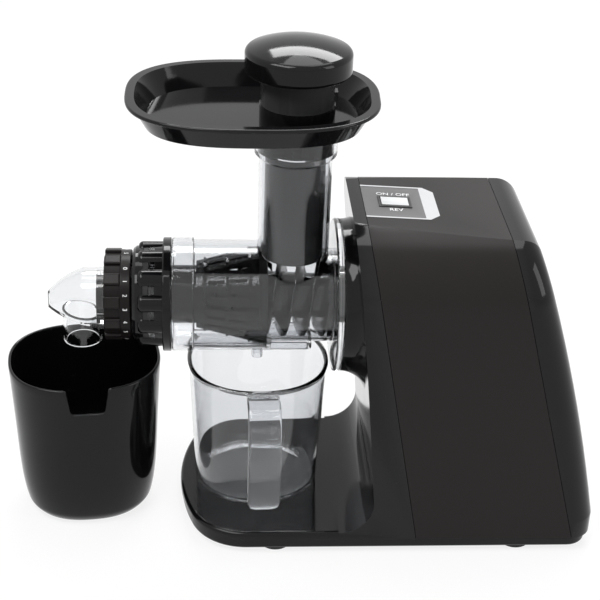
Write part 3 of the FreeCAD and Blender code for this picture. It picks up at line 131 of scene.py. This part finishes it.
# Materials: noise scales per metre, bump depths in metres
NOISE_LOW = 0.3
NOISE_HIGH = 0.7
# Painted edge highlight: pointiness range, strongest share, and gain and lift of the brighter tone
HIGHLIGHT_FROM = 0.52
HIGHLIGHT_TO = 0.62
HIGHLIGHT_MOST = 0.35
HIGHLIGHT_GAIN = 2.2
HIGHLIGHT_LIFT = 0.01
TONE_SCALE = 22.0
CLEAR_TONE_SCALE = 30.0
METAL_TONE_SCALE = 60.0
FLOW_SCALE = 120.0
FLOW_STRENGTH = 0.03
BRUSH_SCALE = 1500.0
BRUSH_STRENGTH = 0.04
FINE_DETAIL = 2.0
SKIN_DEPTH = 0.0002
BRUSH_DEPTH = 0.0001
CLEAR_IOR = 1.42

# Stage: places and sizes in metres, power in watts
FLOOR_HALF = 20.0
FLOOR_TONE = 0.9
FLOOR_ROUGHNESS = 0.6
FLOOR_SHINE = 0.1
FLOOR_GLOW_SHARE = 0.82    # share of plain white in the floor, for rays that see the background
ROOM_LIGHT = 0.45
CLIP_END = 50.0
LAMPS = (
    ("key", (-0.6, -0.5, 1.4), (0, 0, 0.15), (0.9, 0.6), 14),
    ("top", (0.2, 0.3, 1.5), (0, 0, 0.15), (1.0, 0.8), 10),
    ("side", (1.2, -0.6, 0.7), (0.1, 0, 0.15), (0.5, 0.9), 5),
    ("rear", (0.2, 1.4, 1.7), (0.1, 0, 0.25), (1.2, 0.5), 22),
)


def middle(node):
    """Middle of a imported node's box."""
    low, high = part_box(node)
    return (low + high) / 2


# Materials

def new_material(name):
    material = bpy.data.materials.new(name)
    material.use_nodes = True
    tree = material.node_tree
    return material, tree, tree.nodes["Principled BSDF"]


def add(tree, kind, **inputs):
    node = tree.nodes.new(kind)
    for key, value in inputs.items():
        node.inputs[key.replace("_", " ")].default_value = value
    return node


def object_noise(tree, scale, detail=4.0):
    place = tree.nodes.new("ShaderNodeTexCoord")
    noise = add(tree, "ShaderNodeTexNoise", Scale=scale, Detail=detail)
    tree.links.new(place.outputs["Object"], noise.inputs["Vector"])
    return noise


def spread(tree, source, low, high):
    """A value between low and high that follows the noise."""
    ramp = tree.nodes.new("ShaderNodeMapRange")
    ramp.inputs["From Min"].default_value = NOISE_LOW
    ramp.inputs["From Max"].default_value = NOISE_HIGH
    ramp.inputs["To Min"].default_value = low
    ramp.inputs["To Max"].default_value = high
    tree.links.new(source, ramp.inputs["Value"])
    return ramp.outputs["Result"]


def colour_mix(tree, factor, first, second):
    mix = tree.nodes.new("ShaderNodeMix")
    mix.data_type = "RGBA"
    mix.inputs["A"].default_value = (*first, 1)
    mix.inputs["B"].default_value = (*second, 1)
    tree.links.new(factor, mix.inputs["Factor"])
    return mix.outputs["Result"]


def edge_wear(tree):
    """Painted highlight: brighter on sharp outer edges, picked out by pointiness."""
    geometry = tree.nodes.new("ShaderNodeNewGeometry")
    edge_highlight_ramp = tree.nodes.new("ShaderNodeMapRange")
    edge_highlight_ramp.inputs["From Min"].default_value = HIGHLIGHT_FROM
    edge_highlight_ramp.inputs["From Max"].default_value = HIGHLIGHT_TO
    edge_highlight_ramp.inputs["To Max"].default_value = HIGHLIGHT_MOST
    tree.links.new(geometry.outputs["Pointiness"], edge_highlight_ramp.inputs["Value"])
    return edge_highlight_ramp.outputs["Result"]


def bump(tree, source, strength, distance):
    node = add(tree, "ShaderNodeBump", Strength=strength, Distance=distance)
    tree.links.new(source, node.inputs["Height"])
    return node.outputs["Normal"]


def moulded(name, dark, light, rough_low, rough_high, grain=900.0, grain_strength=0.06, shine=0.4):
    """Moulded plastic: cloudy tone, uneven gloss, a fine skin and a painted highlight on sharp edges."""
    material, tree, shader = new_material(name)
    cloud = object_noise(tree, TONE_SCALE)
    skin = object_noise(tree, grain, FINE_DETAIL)
    tone = colour_mix(tree, cloud.outputs["Fac"], dark, light)
    # Painted highlight: sharp outer edges are mixed towards a brighter tone
    edge_lit_tone = tree.nodes.new("ShaderNodeMix")
    edge_lit_tone.data_type = "RGBA"
    edge_lit_tone.inputs["B"].default_value = (*[min(1.0, c * HIGHLIGHT_GAIN + HIGHLIGHT_LIFT) for c in light], 1)
    tree.links.new(tone, edge_lit_tone.inputs["A"])
    tree.links.new(edge_wear(tree), edge_lit_tone.inputs["Factor"])
    tree.links.new(edge_lit_tone.outputs["Result"], shader.inputs["Base Color"])
    tree.links.new(spread(tree, cloud.outputs["Fac"], rough_low, rough_high), shader.inputs["Roughness"])
    tree.links.new(bump(tree, skin.outputs["Fac"], grain_strength, SKIN_DEPTH), shader.inputs["Normal"])
    shader.inputs["Specular IOR Level"].default_value = shine
    return material


def clear_plastic(name, dark, light, rough_low, rough_high, shine):
    """Clear moulding: faint flow marks in its gloss, with a slight smoky tint."""
    material, tree, shader = new_material(name)
    cloud = object_noise(tree, CLEAR_TONE_SCALE)
    flow = object_noise(tree, FLOW_SCALE, FINE_DETAIL)
    tree.links.new(colour_mix(tree, cloud.outputs["Fac"], dark, light), shader.inputs["Base Color"])
    tree.links.new(spread(tree, cloud.outputs["Fac"], rough_low, rough_high), shader.inputs["Roughness"])
    tree.links.new(bump(tree, flow.outputs["Fac"], FLOW_STRENGTH, SKIN_DEPTH), shader.inputs["Normal"])
    shader.inputs["Transmission Weight"].default_value = 1.0
    shader.inputs["Specular IOR Level"].default_value = shine
    shader.inputs["IOR"].default_value = CLEAR_IOR
    return material


def metal(name, dark, light, rough_low, rough_high):
    """Metal with a cloudy tone and fine brush marks in its gloss."""
    material, tree, shader = new_material(name)
    cloud = object_noise(tree, METAL_TONE_SCALE)
    brush = object_noise(tree, BRUSH_SCALE, FINE_DETAIL)
    tree.links.new(colour_mix(tree, cloud.outputs["Fac"], dark, light), shader.inputs["Base Color"])
    tree.links.new(spread(tree, brush.outputs["Fac"], rough_low, rough_high), shader.inputs["Roughness"])
    tree.links.new(bump(tree, brush.outputs["Fac"], BRUSH_STRENGTH, BRUSH_DEPTH), shader.inputs["Normal"])
    shader.inputs["Metallic"].default_value = 1.0
    return material


MATERIALS = {
    "gloss_black": moulded("gloss_black", (0.0030, 0.0030, 0.0034), (0.0045, 0.0045, 0.005), 0.06, 0.10,
                           grain_strength=0.01, shine=0.22),
    "satin_black": moulded("satin_black", (0.0060, 0.0048, 0.0046), (0.0085, 0.0070, 0.0066), 0.28, 0.34,
                           grain=2400.0, grain_strength=0.03, shine=0.13),
    "matte_black": moulded("matte_black", (0.010, 0.010, 0.0105), (0.015, 0.015, 0.0155), 0.30, 0.38,
                           grain=2400.0, grain_strength=0.02, shine=0.22),
    "strainer_black": moulded("strainer_black", (0.004, 0.004, 0.004), (0.007, 0.007, 0.007), 0.10, 0.16,
                              grain=2600.0, grain_strength=0.01, shine=0.3),
    "auger_black": moulded("auger_black", (0.006, 0.006, 0.0065), (0.010, 0.010, 0.011), 0.10, 0.16,
                           grain=2600.0, grain_strength=0.01, shine=0.45),
    "pusher_grey": moulded("pusher_grey", (0.022, 0.022, 0.023), (0.034, 0.034, 0.035), 0.10, 0.17),
    "clear": clear_plastic("clear", (0.90, 0.91, 0.92), (0.95, 0.955, 0.96), 0.015, 0.04, 0.4),
    "panel_grey": moulded("panel_grey", (0.045, 0.045, 0.047), (0.060, 0.059, 0.061), 0.35, 0.45,
                          grain=2500.0, grain_strength=0.06),
    "bright_trim": metal("bright_trim", (0.78, 0.79, 0.81), (0.88, 0.89, 0.90), 0.08, 0.16),
    "switch_silver": moulded("switch_silver", (0.36, 0.37, 0.385), (0.44, 0.45, 0.465), 0.25, 0.35,
                             grain=2500.0),
    "rubber": moulded("rubber", (0.010, 0.010, 0.010), (0.018, 0.018, 0.018), 0.55, 0.75,
                      grain=600.0, grain_strength=0.25, shine=0.3),
    "silicone": moulded("silicone", (0.50, 0.50, 0.48), (0.60, 0.60, 0.58), 0.4, 0.55),
    "steel": metal("steel", (0.42, 0.42, 0.43), (0.58, 0.58, 0.59), 0.22, 0.38),
    "bronze": metal("bronze", (0.48, 0.33, 0.16), (0.60, 0.43, 0.22), 0.3, 0.45),
    "gear_nylon": moulded("gear_nylon", (0.70, 0.67, 0.58), (0.78, 0.75, 0.66), 0.35, 0.5),
    "board_green": moulded("board_green", (0.02, 0.11, 0.04), (0.03, 0.15, 0.06), 0.3, 0.45),
}
LETTERING = moulded("lettering", (0.72, 0.73, 0.74), (0.82, 0.83, 0.84), 0.35, 0.45)
SMOKED = clear_plastic("smoked_clear", (0.80, 0.81, 0.83), (0.86, 0.87, 0.88), 0.015, 0.04, 0.16)
SMOKED_NODES = ("drum",)


def dress_nodes():
    """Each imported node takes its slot's material. The drum is the smokier of the clear pieces."""
    slots = {row["node"]: row["material_slot"] for row in frame["record"]["subparts"]}
    for name, node in NODES.items():
        node.data.materials.clear()
        node.data.materials.append(SMOKED if name in SMOKED_NODES else MATERIALS[slots[name]])


# Modelled pieces

def finish_piece(piece, body, slot, *replaced, material=None):
    """Gives a modelled piece its material, picked by its slot unless one is given, puts it on its body and
    hides the nodes that it stands for.
    """
    piece.data.materials.append(material or MATERIALS[slot])
    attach(piece, body)
    if replaced:
        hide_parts(*replaced)
    return piece


def mesh_piece(name, bm):
    """Turns mesh data into a smooth piece in the scene."""
    bmesh.ops.recalc_face_normals(bm, faces=bm.faces)
    mesh = bpy.data.meshes.new(name)
    bm.to_mesh(mesh)
    bm.free()
    for polygon in mesh.polygons:
        polygon.use_smooth = True
    piece = bpy.data.objects.new(name, mesh)
    bpy.context.scene.collection.objects.link(piece)
    return piece


def along(profile, share):
    """Smooth scale at a share of the height, through the profile's points."""
    last = len(profile) - 1
    index = 0
    while index < last - 1 and share > profile[index + 1][0]:
        index += 1
    (s0, v0), (s1, v1) = profile[index], profile[index + 1]

    def slope(i):
        if i in (0, last):
            near = (profile[0], profile[1]) if i == 0 else (profile[last - 1], profile[last])
            return (near[1][1] - near[0][1]) / (near[1][0] - near[0][0])
        before = (profile[i][1] - profile[i - 1][1]) / (profile[i][0] - profile[i - 1][0])
        after = (profile[i + 1][1] - profile[i][1]) / (profile[i + 1][0] - profile[i][0])
        return 2 * before * after / (before + after)
    step = s1 - s0
    t = min(1.0, max(0.0, (share - s0) / step))
    ease = t * t * (3 - 2 * t)
    bend = slope(index) * step * (t ** 3 - 2 * t ** 2 + t) + slope(index + 1) * step * (t ** 3 - t ** 2)
    return v0 + (v1 - v0) * ease + bend


def squarish(angle, power):
    """Unit superellipse point."""
    c, s = math.cos(angle), math.sin(angle)
    return (math.copysign(abs(c) ** (2 / power), c), math.copysign(abs(s) ** (2 / power), s))


def open_vessel(name, centre, turn, floor_z, top_z, wall, outline, rim_z, columns):
    """Thin vessel: up the outside, over a round rim and down the inside to a flat floor."""
    bm = bmesh.new()
    height = top_z - floor_z

    def place(angle, share, inset, z):
        x, y = outline(angle, share, inset)
        return (centre.x + x * math.cos(turn) - y * math.sin(turn),
                centre.y + x * math.sin(turn) + y * math.cos(turn), z)
    rings = []
    angles = [2 * math.pi * i / columns for i in range(columns)]
    for row in range(SIDE_ROWS + 1):
        lift = (row / SIDE_ROWS) ** FOOT_CROWDING
        ring = []
        for angle in angles:
            z = floor_z + lift * (rim_z(angle) - wall / 2 - floor_z)
            ring.append(bm.verts.new(place(angle, (z - floor_z) / height, 0.0, z)))
        rings.append(ring)
    for step in range(1, RIM_STEPS):
        turn_over = math.pi * step / RIM_STEPS
        ring = []
        for angle in angles:
            top = rim_z(angle) - wall / 2
            z = top + wall / 2 * math.sin(turn_over)
            inset = wall / 2 * (1 - math.cos(turn_over))
            ring.append(bm.verts.new(place(angle, (top - floor_z) / height, inset, z)))
        rings.append(ring)
    inner_floor = floor_z + wall
    for row in range(SIDE_ROWS, -1, -1):
        lift = (row / SIDE_ROWS) ** FOOT_CROWDING
        ring = []
        for angle in angles:
            z = inner_floor + lift * (rim_z(angle) - wall / 2 - inner_floor)
            share = (z - inner_floor) / (top_z - inner_floor)
            ring.append(bm.verts.new(place(angle, share, wall, z)))
        rings.append(ring)
    for lower, upper in zip(rings, rings[1:]):
        for i in range(columns):
            j = (i + 1) % columns
            bm.faces.new((lower[i], lower[j], upper[j], upper[i]))
    close_disc(bm, rings[0], columns)
    close_disc(bm, rings[-1], columns)
    return mesh_piece(name, bm)


def close_disc(bm, ring, columns):
    """Flat disc inside a ring, in concentric rows."""
    centre = sum((v.co for v in ring), Vector()) / columns
    outer = ring
    for step in range(1, DISC_STEPS):
        share = 1 - step / DISC_STEPS
        inner = [bm.verts.new(centre + (v.co - centre) * share) for v in ring]
        for i in range(columns):
            j = (i + 1) % columns
            bm.faces.new((outer[i], outer[j], inner[j], inner[i]))
        outer = inner
    hub = bm.verts.new(centre)
    for i in range(columns):
        bm.faces.new((outer[i], outer[(i + 1) % columns], hub))


def soft_step(value):
    value = min(1.0, max(0.0, value))
    return value * value * (3 - 2 * value)


def make_cup():
    """Pulp cup: squarish, rounded at the foot, with a notch in its near rim."""
    low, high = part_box("pulp_cup")

    def outline(angle, share, inset):
        x, y = squarish(angle, CUP_POWER)
        scale = along(CUP_PROFILE, share)
        return x * (CUP_HALF_X * scale - inset), y * (CUP_HALF_Y * scale - inset)

    def rim(angle):
        x, y = squarish(angle, CUP_POWER)
        if y > 0:
            return high.z
        beyond = (abs(x * CUP_HALF_X) - NOTCH_HALF_W) / NOTCH_SOFT
        return high.z - NOTCH_DEPTH * (1 - soft_step(beyond + 0.5))
    cup = open_vessel("cup_body", middle("pulp_cup"), math.radians(CUP_TURN_DEG), low.z, high.z, CUP_WALL,
                      outline, rim, CUP_COLUMNS)
    return finish_piece(cup, "cup", "gloss_black", "pulp_cup")


def jug_outline(angle, share, inset):
    """Round side with a bead at the rim and a pouring lip on the far side."""
    x, y = squarish(angle, JUG_POWER)
    scale = along(JUG_PROFILE, share)
    radius = JUG_FOOT_R + (JUG_TOP_R - JUG_FOOT_R) * share
    side = radius * scale if share < JUG_ROUND_END else radius
    bead = JUG_BEAD * soft_step((share - BEAD_START) / (1 - BEAD_START)) if inset == 0.0 else 0.0
    away = abs(angle - math.pi / 2) / LIP_HALF_ANGLE
    lip = 0.0
    if away < 1:
        height_share = soft_step((share - LIP_START) / (1 - LIP_START))
        lip = LIP_REACH * math.cos(math.pi / 2 * away) ** 2 * height_share
    reach = side + bead - inset
    return x * reach, y * reach + lip


def strap(bm, path, half_w, half_t):
    """Flat strap with rounded edges swept along points in the YZ plane."""
    rings = []
    for i, point in enumerate(path):
        before = path[max(0, i - 1)]
        after = path[min(len(path) - 1, i + 1)]
        along_dir = (after - before).normalized()
        across = Vector((0, -along_dir.z, along_dir.y))
        rest = (len(path) - 1 - i) / ROUND_TIP_ROWS
        shrink = math.sqrt(max(0.0, 1 - (1 - rest) ** 2)) if rest < 1 else 1.0
        width = half_w * (TIP_WIDTH_SHARE + (1 - TIP_WIDTH_SHARE) * shrink)
        thick = half_t * max(TIP_LEAST_THICK, shrink)
        ring = []
        for corner_index in range(4):
            sx = (1, -1, -1, 1)[corner_index]
            sy = (1, 1, -1, -1)[corner_index]
            start = corner_index * math.pi / 2
            r = STRAP_CORNER * 2 * thick
            for k in range(STRAP_CORNER_POINTS):
                a = start + math.pi / 2 * k / (STRAP_CORNER_POINTS - 1)
                ox = sx * (width - r) + r * math.cos(a)
                oy = sy * (thick - r) + r * math.sin(a)
                ring.append(bm.verts.new(point + Vector((ox, 0, 0)) + across * oy))
        rings.append(ring)
    count = len(rings[0])
    for lower, upper in zip(rings, rings[1:]):
        for i in range(count):
            j = (i + 1) % count
            bm.faces.new((lower[i], lower[j], upper[j], upper[i]))
    bm.faces.new(rings[0])
    bm.faces.new(rings[-1])


def make_jug():
    """Juice jug with its strap handle towards the user."""
    low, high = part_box("jug")
    centre = Vector((middle("pusher_cap").x + JUG_FROM_CHUTE, middle("pusher_cap").y, 0))
    jug = open_vessel("jug_body", centre, math.radians(JUG_TURN_DEG), low.z, high.z, JUG_WALL,
                      jug_outline, lambda angle: high.z, JUG_COLUMNS)
    finish_piece(jug, "juice_jug", "clear", "jug", material=SMOKED)
    bm = bmesh.new()
    level = high.z - HANDLE_T / 2 - HANDLE_TUCK
    out = -(JUG_TOP_R + HANDLE_REACH - HANDLE_T / 2)
    inner = -(JUG_TOP_R - HANDLE_TUCK)
    path = [Vector((0, y, level)) for y in (inner, out + HANDLE_BEND * HANDLE_BEND_START)]
    for step in range(1, BEND_STEPS + 1):
        angle = math.pi / 2 * step / BEND_STEPS
        path.append(Vector((0, out + HANDLE_BEND * (1 - math.sin(angle)),
                            level - HANDLE_BEND * (1 - math.cos(angle)))))
    foot = level - HANDLE_BEND - HANDLE_FOOT_Z
    for step in range(1, HANDLE_ROWS + 1):
        path.append(Vector((0, out, level - HANDLE_BEND - foot * step / HANDLE_ROWS)))
    strap(bm, path, HANDLE_HALF_W, HANDLE_T / 2)
    handle = mesh_piece("jug_handle", bm)
    handle.rotation_euler = (0, 0, math.radians(JUG_TURN_DEG))
    handle.location = centre
    finish_piece(handle, "juice_jug", "clear", material=SMOKED)


def flight_limit(distance):
    """Largest radius at a distance from the auger's front end."""
    for (d0, r0), (d1, r1) in zip(FLIGHT_LIMIT, FLIGHT_LIMIT[1:]):
        if distance <= d1:
            return r0 + (r1 - r0) * (distance - d0) / (d1 - d0)
    return FLIGHT_LIMIT[-1][1]


def make_auger_flights():
    """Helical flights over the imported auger, which has its core, disc and drive only."""
    low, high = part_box("auger")
    axis = middle("auger")
    end = high.x - low.x - FLIGHT_END
    bm = bmesh.new()
    for start in range(FLIGHT_STARTS):
        rings = []
        for step in range(FLIGHT_STEPS + 1):
            along_x = FLIGHT_TIP + (end - FLIGHT_TIP) * step / FLIGHT_STEPS
            angle = 2 * math.pi * (along_x / FLIGHT_LEAD + start / FLIGHT_STARTS)
            limit = min(flight_limit(along_x - FLIGHT_HALF_CREST), flight_limit(along_x + FLIGHT_HALF_CREST))
            rise = soft_step((along_x - FLIGHT_TIP) / FLIGHT_FADE)
            share = FLIGHT_FIRST_SHARE + (1 - FLIGHT_FIRST_SHARE) * rise
            crest = FLIGHT_ROOT_R + (limit - FLIGHT_CLEARANCE - FLIGHT_ROOT_R) * share
            shoulder = crest - FLIGHT_HALF_CREST * SHOULDER_DROP
            waist = (FLIGHT_ROOT_R + crest) / 2
            waist_half = FLIGHT_HALF_CREST * WAIST_HALF
            top_half = FLIGHT_HALF_CREST * CREST_TOP_HALF
            outline = (
                (-FLIGHT_HALF_ROOT, FLIGHT_ROOT_R), (-waist_half, waist), (-FLIGHT_HALF_CREST, shoulder),
                (-top_half, crest), (top_half, crest),
                (FLIGHT_HALF_CREST, shoulder), (waist_half, waist), (FLIGHT_HALF_ROOT, FLIGHT_ROOT_R),
            )
            ring = []
            for offset, radius in outline:
                ring.append(bm.verts.new((low.x + along_x + offset, axis.y + radius * math.sin(angle),
                                          axis.z + radius * math.cos(angle))))
            rings.append(ring)
        count = len(rings[0])
        for lower, upper in zip(rings, rings[1:]):
            for i in range(count):
                j = (i + 1) % count
                bm.faces.new((lower[i], lower[j], upper[j], upper[i]))
        bm.faces.new(rings[0])
        bm.faces.new(rings[-1])
    finish_piece(mesh_piece("auger_flights", bm), "auger_drive", "auger_black")


# Words and numbers

def letter_piece(name, text, size, body, place, turn):
    """Thin raised lettering at a place on a body."""
    curve = bpy.data.curves.new(name, "FONT")
    curve.body = text
    curve.size = size
    curve.extrude = LETTER_T / 2
    curve.align_x = "CENTER"
    curve.align_y = "CENTER"
    maker = bpy.data.objects.new(name + "_curve", curve)
    bpy.context.scene.collection.objects.link(maker)
    bpy.context.view_layer.update()
    mesh = bpy.data.meshes.new_from_object(maker)
    bpy.data.objects.remove(maker)
    piece = bpy.data.objects.new(name, mesh)
    bpy.context.scene.collection.objects.link(piece)
    piece.data.materials.clear()
    piece.data.materials.append(LETTERING)
    piece.matrix_world = turn.to_4x4()
    piece.location = place
    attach(piece, body)
    return piece


def make_dial_numbers():
    """Three sets of 0 to 5 round the number band, read from the nozzle's end."""
    _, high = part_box("dial")
    axis = middle("end_cap")
    band_x = high.x - BAND_MIDDLE
    for group in range(NUMBER_SETS):
        for digit in range(DIGITS):
            angle = math.radians(FIRST_DIGIT_DEG + 360 / NUMBER_SETS * group - DIGIT_STEP_DEG * digit)
            outward = Vector((0, math.sin(angle), math.cos(angle)))
            up = Vector((1, 0, 0))
            side = up.cross(outward)
            turn = Matrix.Identity(3)
            turn.col[0] = side
            turn.col[1] = up
            turn.col[2] = outward
            place = Vector((band_x, axis.y, axis.z)) + outward * DIAL_BAND_R
            letter_piece(f"dial_number_{group}_{digit}", str(digit), DIGIT_H, "nozzle_dial",
                         place, turn)


def make_panel_words():
    """Plain words on the sloping panel, one on each side of the rocker."""
    low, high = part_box("panel_plate")
    rocker = middle("rocker")
    slope = math.radians(PANEL_SLOPE_DEG)
    turn = Euler((0, slope, 0)).to_matrix()
    words = (("word_on_off", "ON / OFF", WORD_FAR_Y), ("word_reverse", "REV", -WORD_NEAR_Y))
    for name, text, offset in words:
        top = high.z - (rocker.x - low.x) * math.tan(slope)
        letter_piece(name, text, WORD_H, "root",
                     Vector((rocker.x, rocker.y + offset, top + LETTER_T * LETTER_LIFT)), turn)


# Stage

def seen_rays(tree, path):
    """1 for rays that see the background: from the camera, off gloss and through clear pieces."""
    first = tree.nodes.new("ShaderNodeMath")
    first.operation = "MAXIMUM"
    second = tree.nodes.new("ShaderNodeMath")
    second.operation = "MAXIMUM"
    tree.links.new(path.outputs["Is Camera Ray"], first.inputs[0])
    tree.links.new(path.outputs["Is Glossy Ray"], first.inputs[1])
    tree.links.new(first.outputs[0], second.inputs[0])
    tree.links.new(path.outputs["Is Transmission Ray"], second.inputs[1])
    return second.outputs[0]


def make_floor():
    """Plain pale floor that keeps the object's shadow."""
    bm = bmesh.new()
    bmesh.ops.create_grid(bm, x_segments=2, y_segments=2, size=FLOOR_HALF)
    mesh = bpy.data.meshes.new("floor")
    bm.to_mesh(mesh)
    bm.free()
    floor = bpy.data.objects.new("floor", mesh)
    bpy.context.scene.collection.objects.link(floor)
    material, tree, shader = new_material("floor")
    shader.inputs["Base Color"].default_value = (FLOOR_TONE, FLOOR_TONE, FLOOR_TONE, 1)
    shader.inputs["Roughness"].default_value = FLOOR_ROUGHNESS
    shader.inputs["Specular IOR Level"].default_value = FLOOR_SHINE
    glow = add(tree, "ShaderNodeEmission", Strength=1.0)
    mix = tree.nodes.new("ShaderNodeMixShader")
    path = tree.nodes.new("ShaderNodeLightPath")
    share = tree.nodes.new("ShaderNodeMath")
    share.operation = "MULTIPLY"
    share.inputs[1].default_value = FLOOR_GLOW_SHARE
    seen = seen_rays(tree, path)
    tree.links.new(seen, share.inputs[0])
    tree.links.new(share.outputs[0], mix.inputs[0])
    tree.links.new(shader.outputs[0], mix.inputs[1])
    tree.links.new(glow.outputs[0], mix.inputs[2])
    tree.links.new(mix.outputs[0], tree.nodes["Material Output"].inputs["Surface"])
    floor.data.materials.append(material)


def make_world():
    """White background with softer light on the object."""
    world = bpy.data.worlds.new("studio")
    bpy.context.scene.world = world
    world.use_nodes = True
    tree = world.node_tree
    plain = tree.nodes["Background"]
    plain.inputs["Color"].default_value = (1, 1, 1, 1)
    plain.inputs["Strength"].default_value = ROOM_LIGHT
    bright = add(tree, "ShaderNodeBackground", Strength=1.0)
    bright.inputs["Color"].default_value = (1, 1, 1, 1)
    mix = tree.nodes.new("ShaderNodeMixShader")
    path = tree.nodes.new("ShaderNodeLightPath")
    tree.links.new(seen_rays(tree, path), mix.inputs[0])
    tree.links.new(plain.outputs[0], mix.inputs[1])
    tree.links.new(bright.outputs[0], mix.inputs[2])
    tree.links.new(mix.outputs[0], tree.nodes["World Output"].inputs["Surface"])


def make_lamp(name, place, target, size, power):
    data = bpy.data.lights.new(name, "AREA")
    data.shape = "RECTANGLE"
    data.size, data.size_y = size
    data.energy = power
    lamp = bpy.data.objects.new(name, data)
    bpy.context.scene.collection.objects.link(lamp)
    lamp.location = place
    lamp.rotation_euler = (Vector(target) - Vector(place)).to_track_quat("-Z", "Y").to_euler()


def make_camera():
    data = bpy.data.cameras.new("camera")
    data.lens = CAMERA_LENS_MM
    data.sensor_width = SENSOR_MM
    data.clip_end = CLIP_END
    camera = bpy.data.objects.new("camera", data)
    bpy.context.scene.collection.objects.link(camera)
    camera.location = CAMERA_PLACE
    camera.rotation_euler = [math.radians(angle) for angle in CAMERA_TURN_DEG]
    bpy.context.scene.camera = camera


dress_nodes()
make_cup()
make_jug()
make_auger_flights()
make_dial_numbers()
make_panel_words()
make_floor()
make_world()
for lamp_row in LAMPS:
    make_lamp(*lamp_row)
make_camera()
bpy.context.scene.view_settings.view_transform = "Standard"
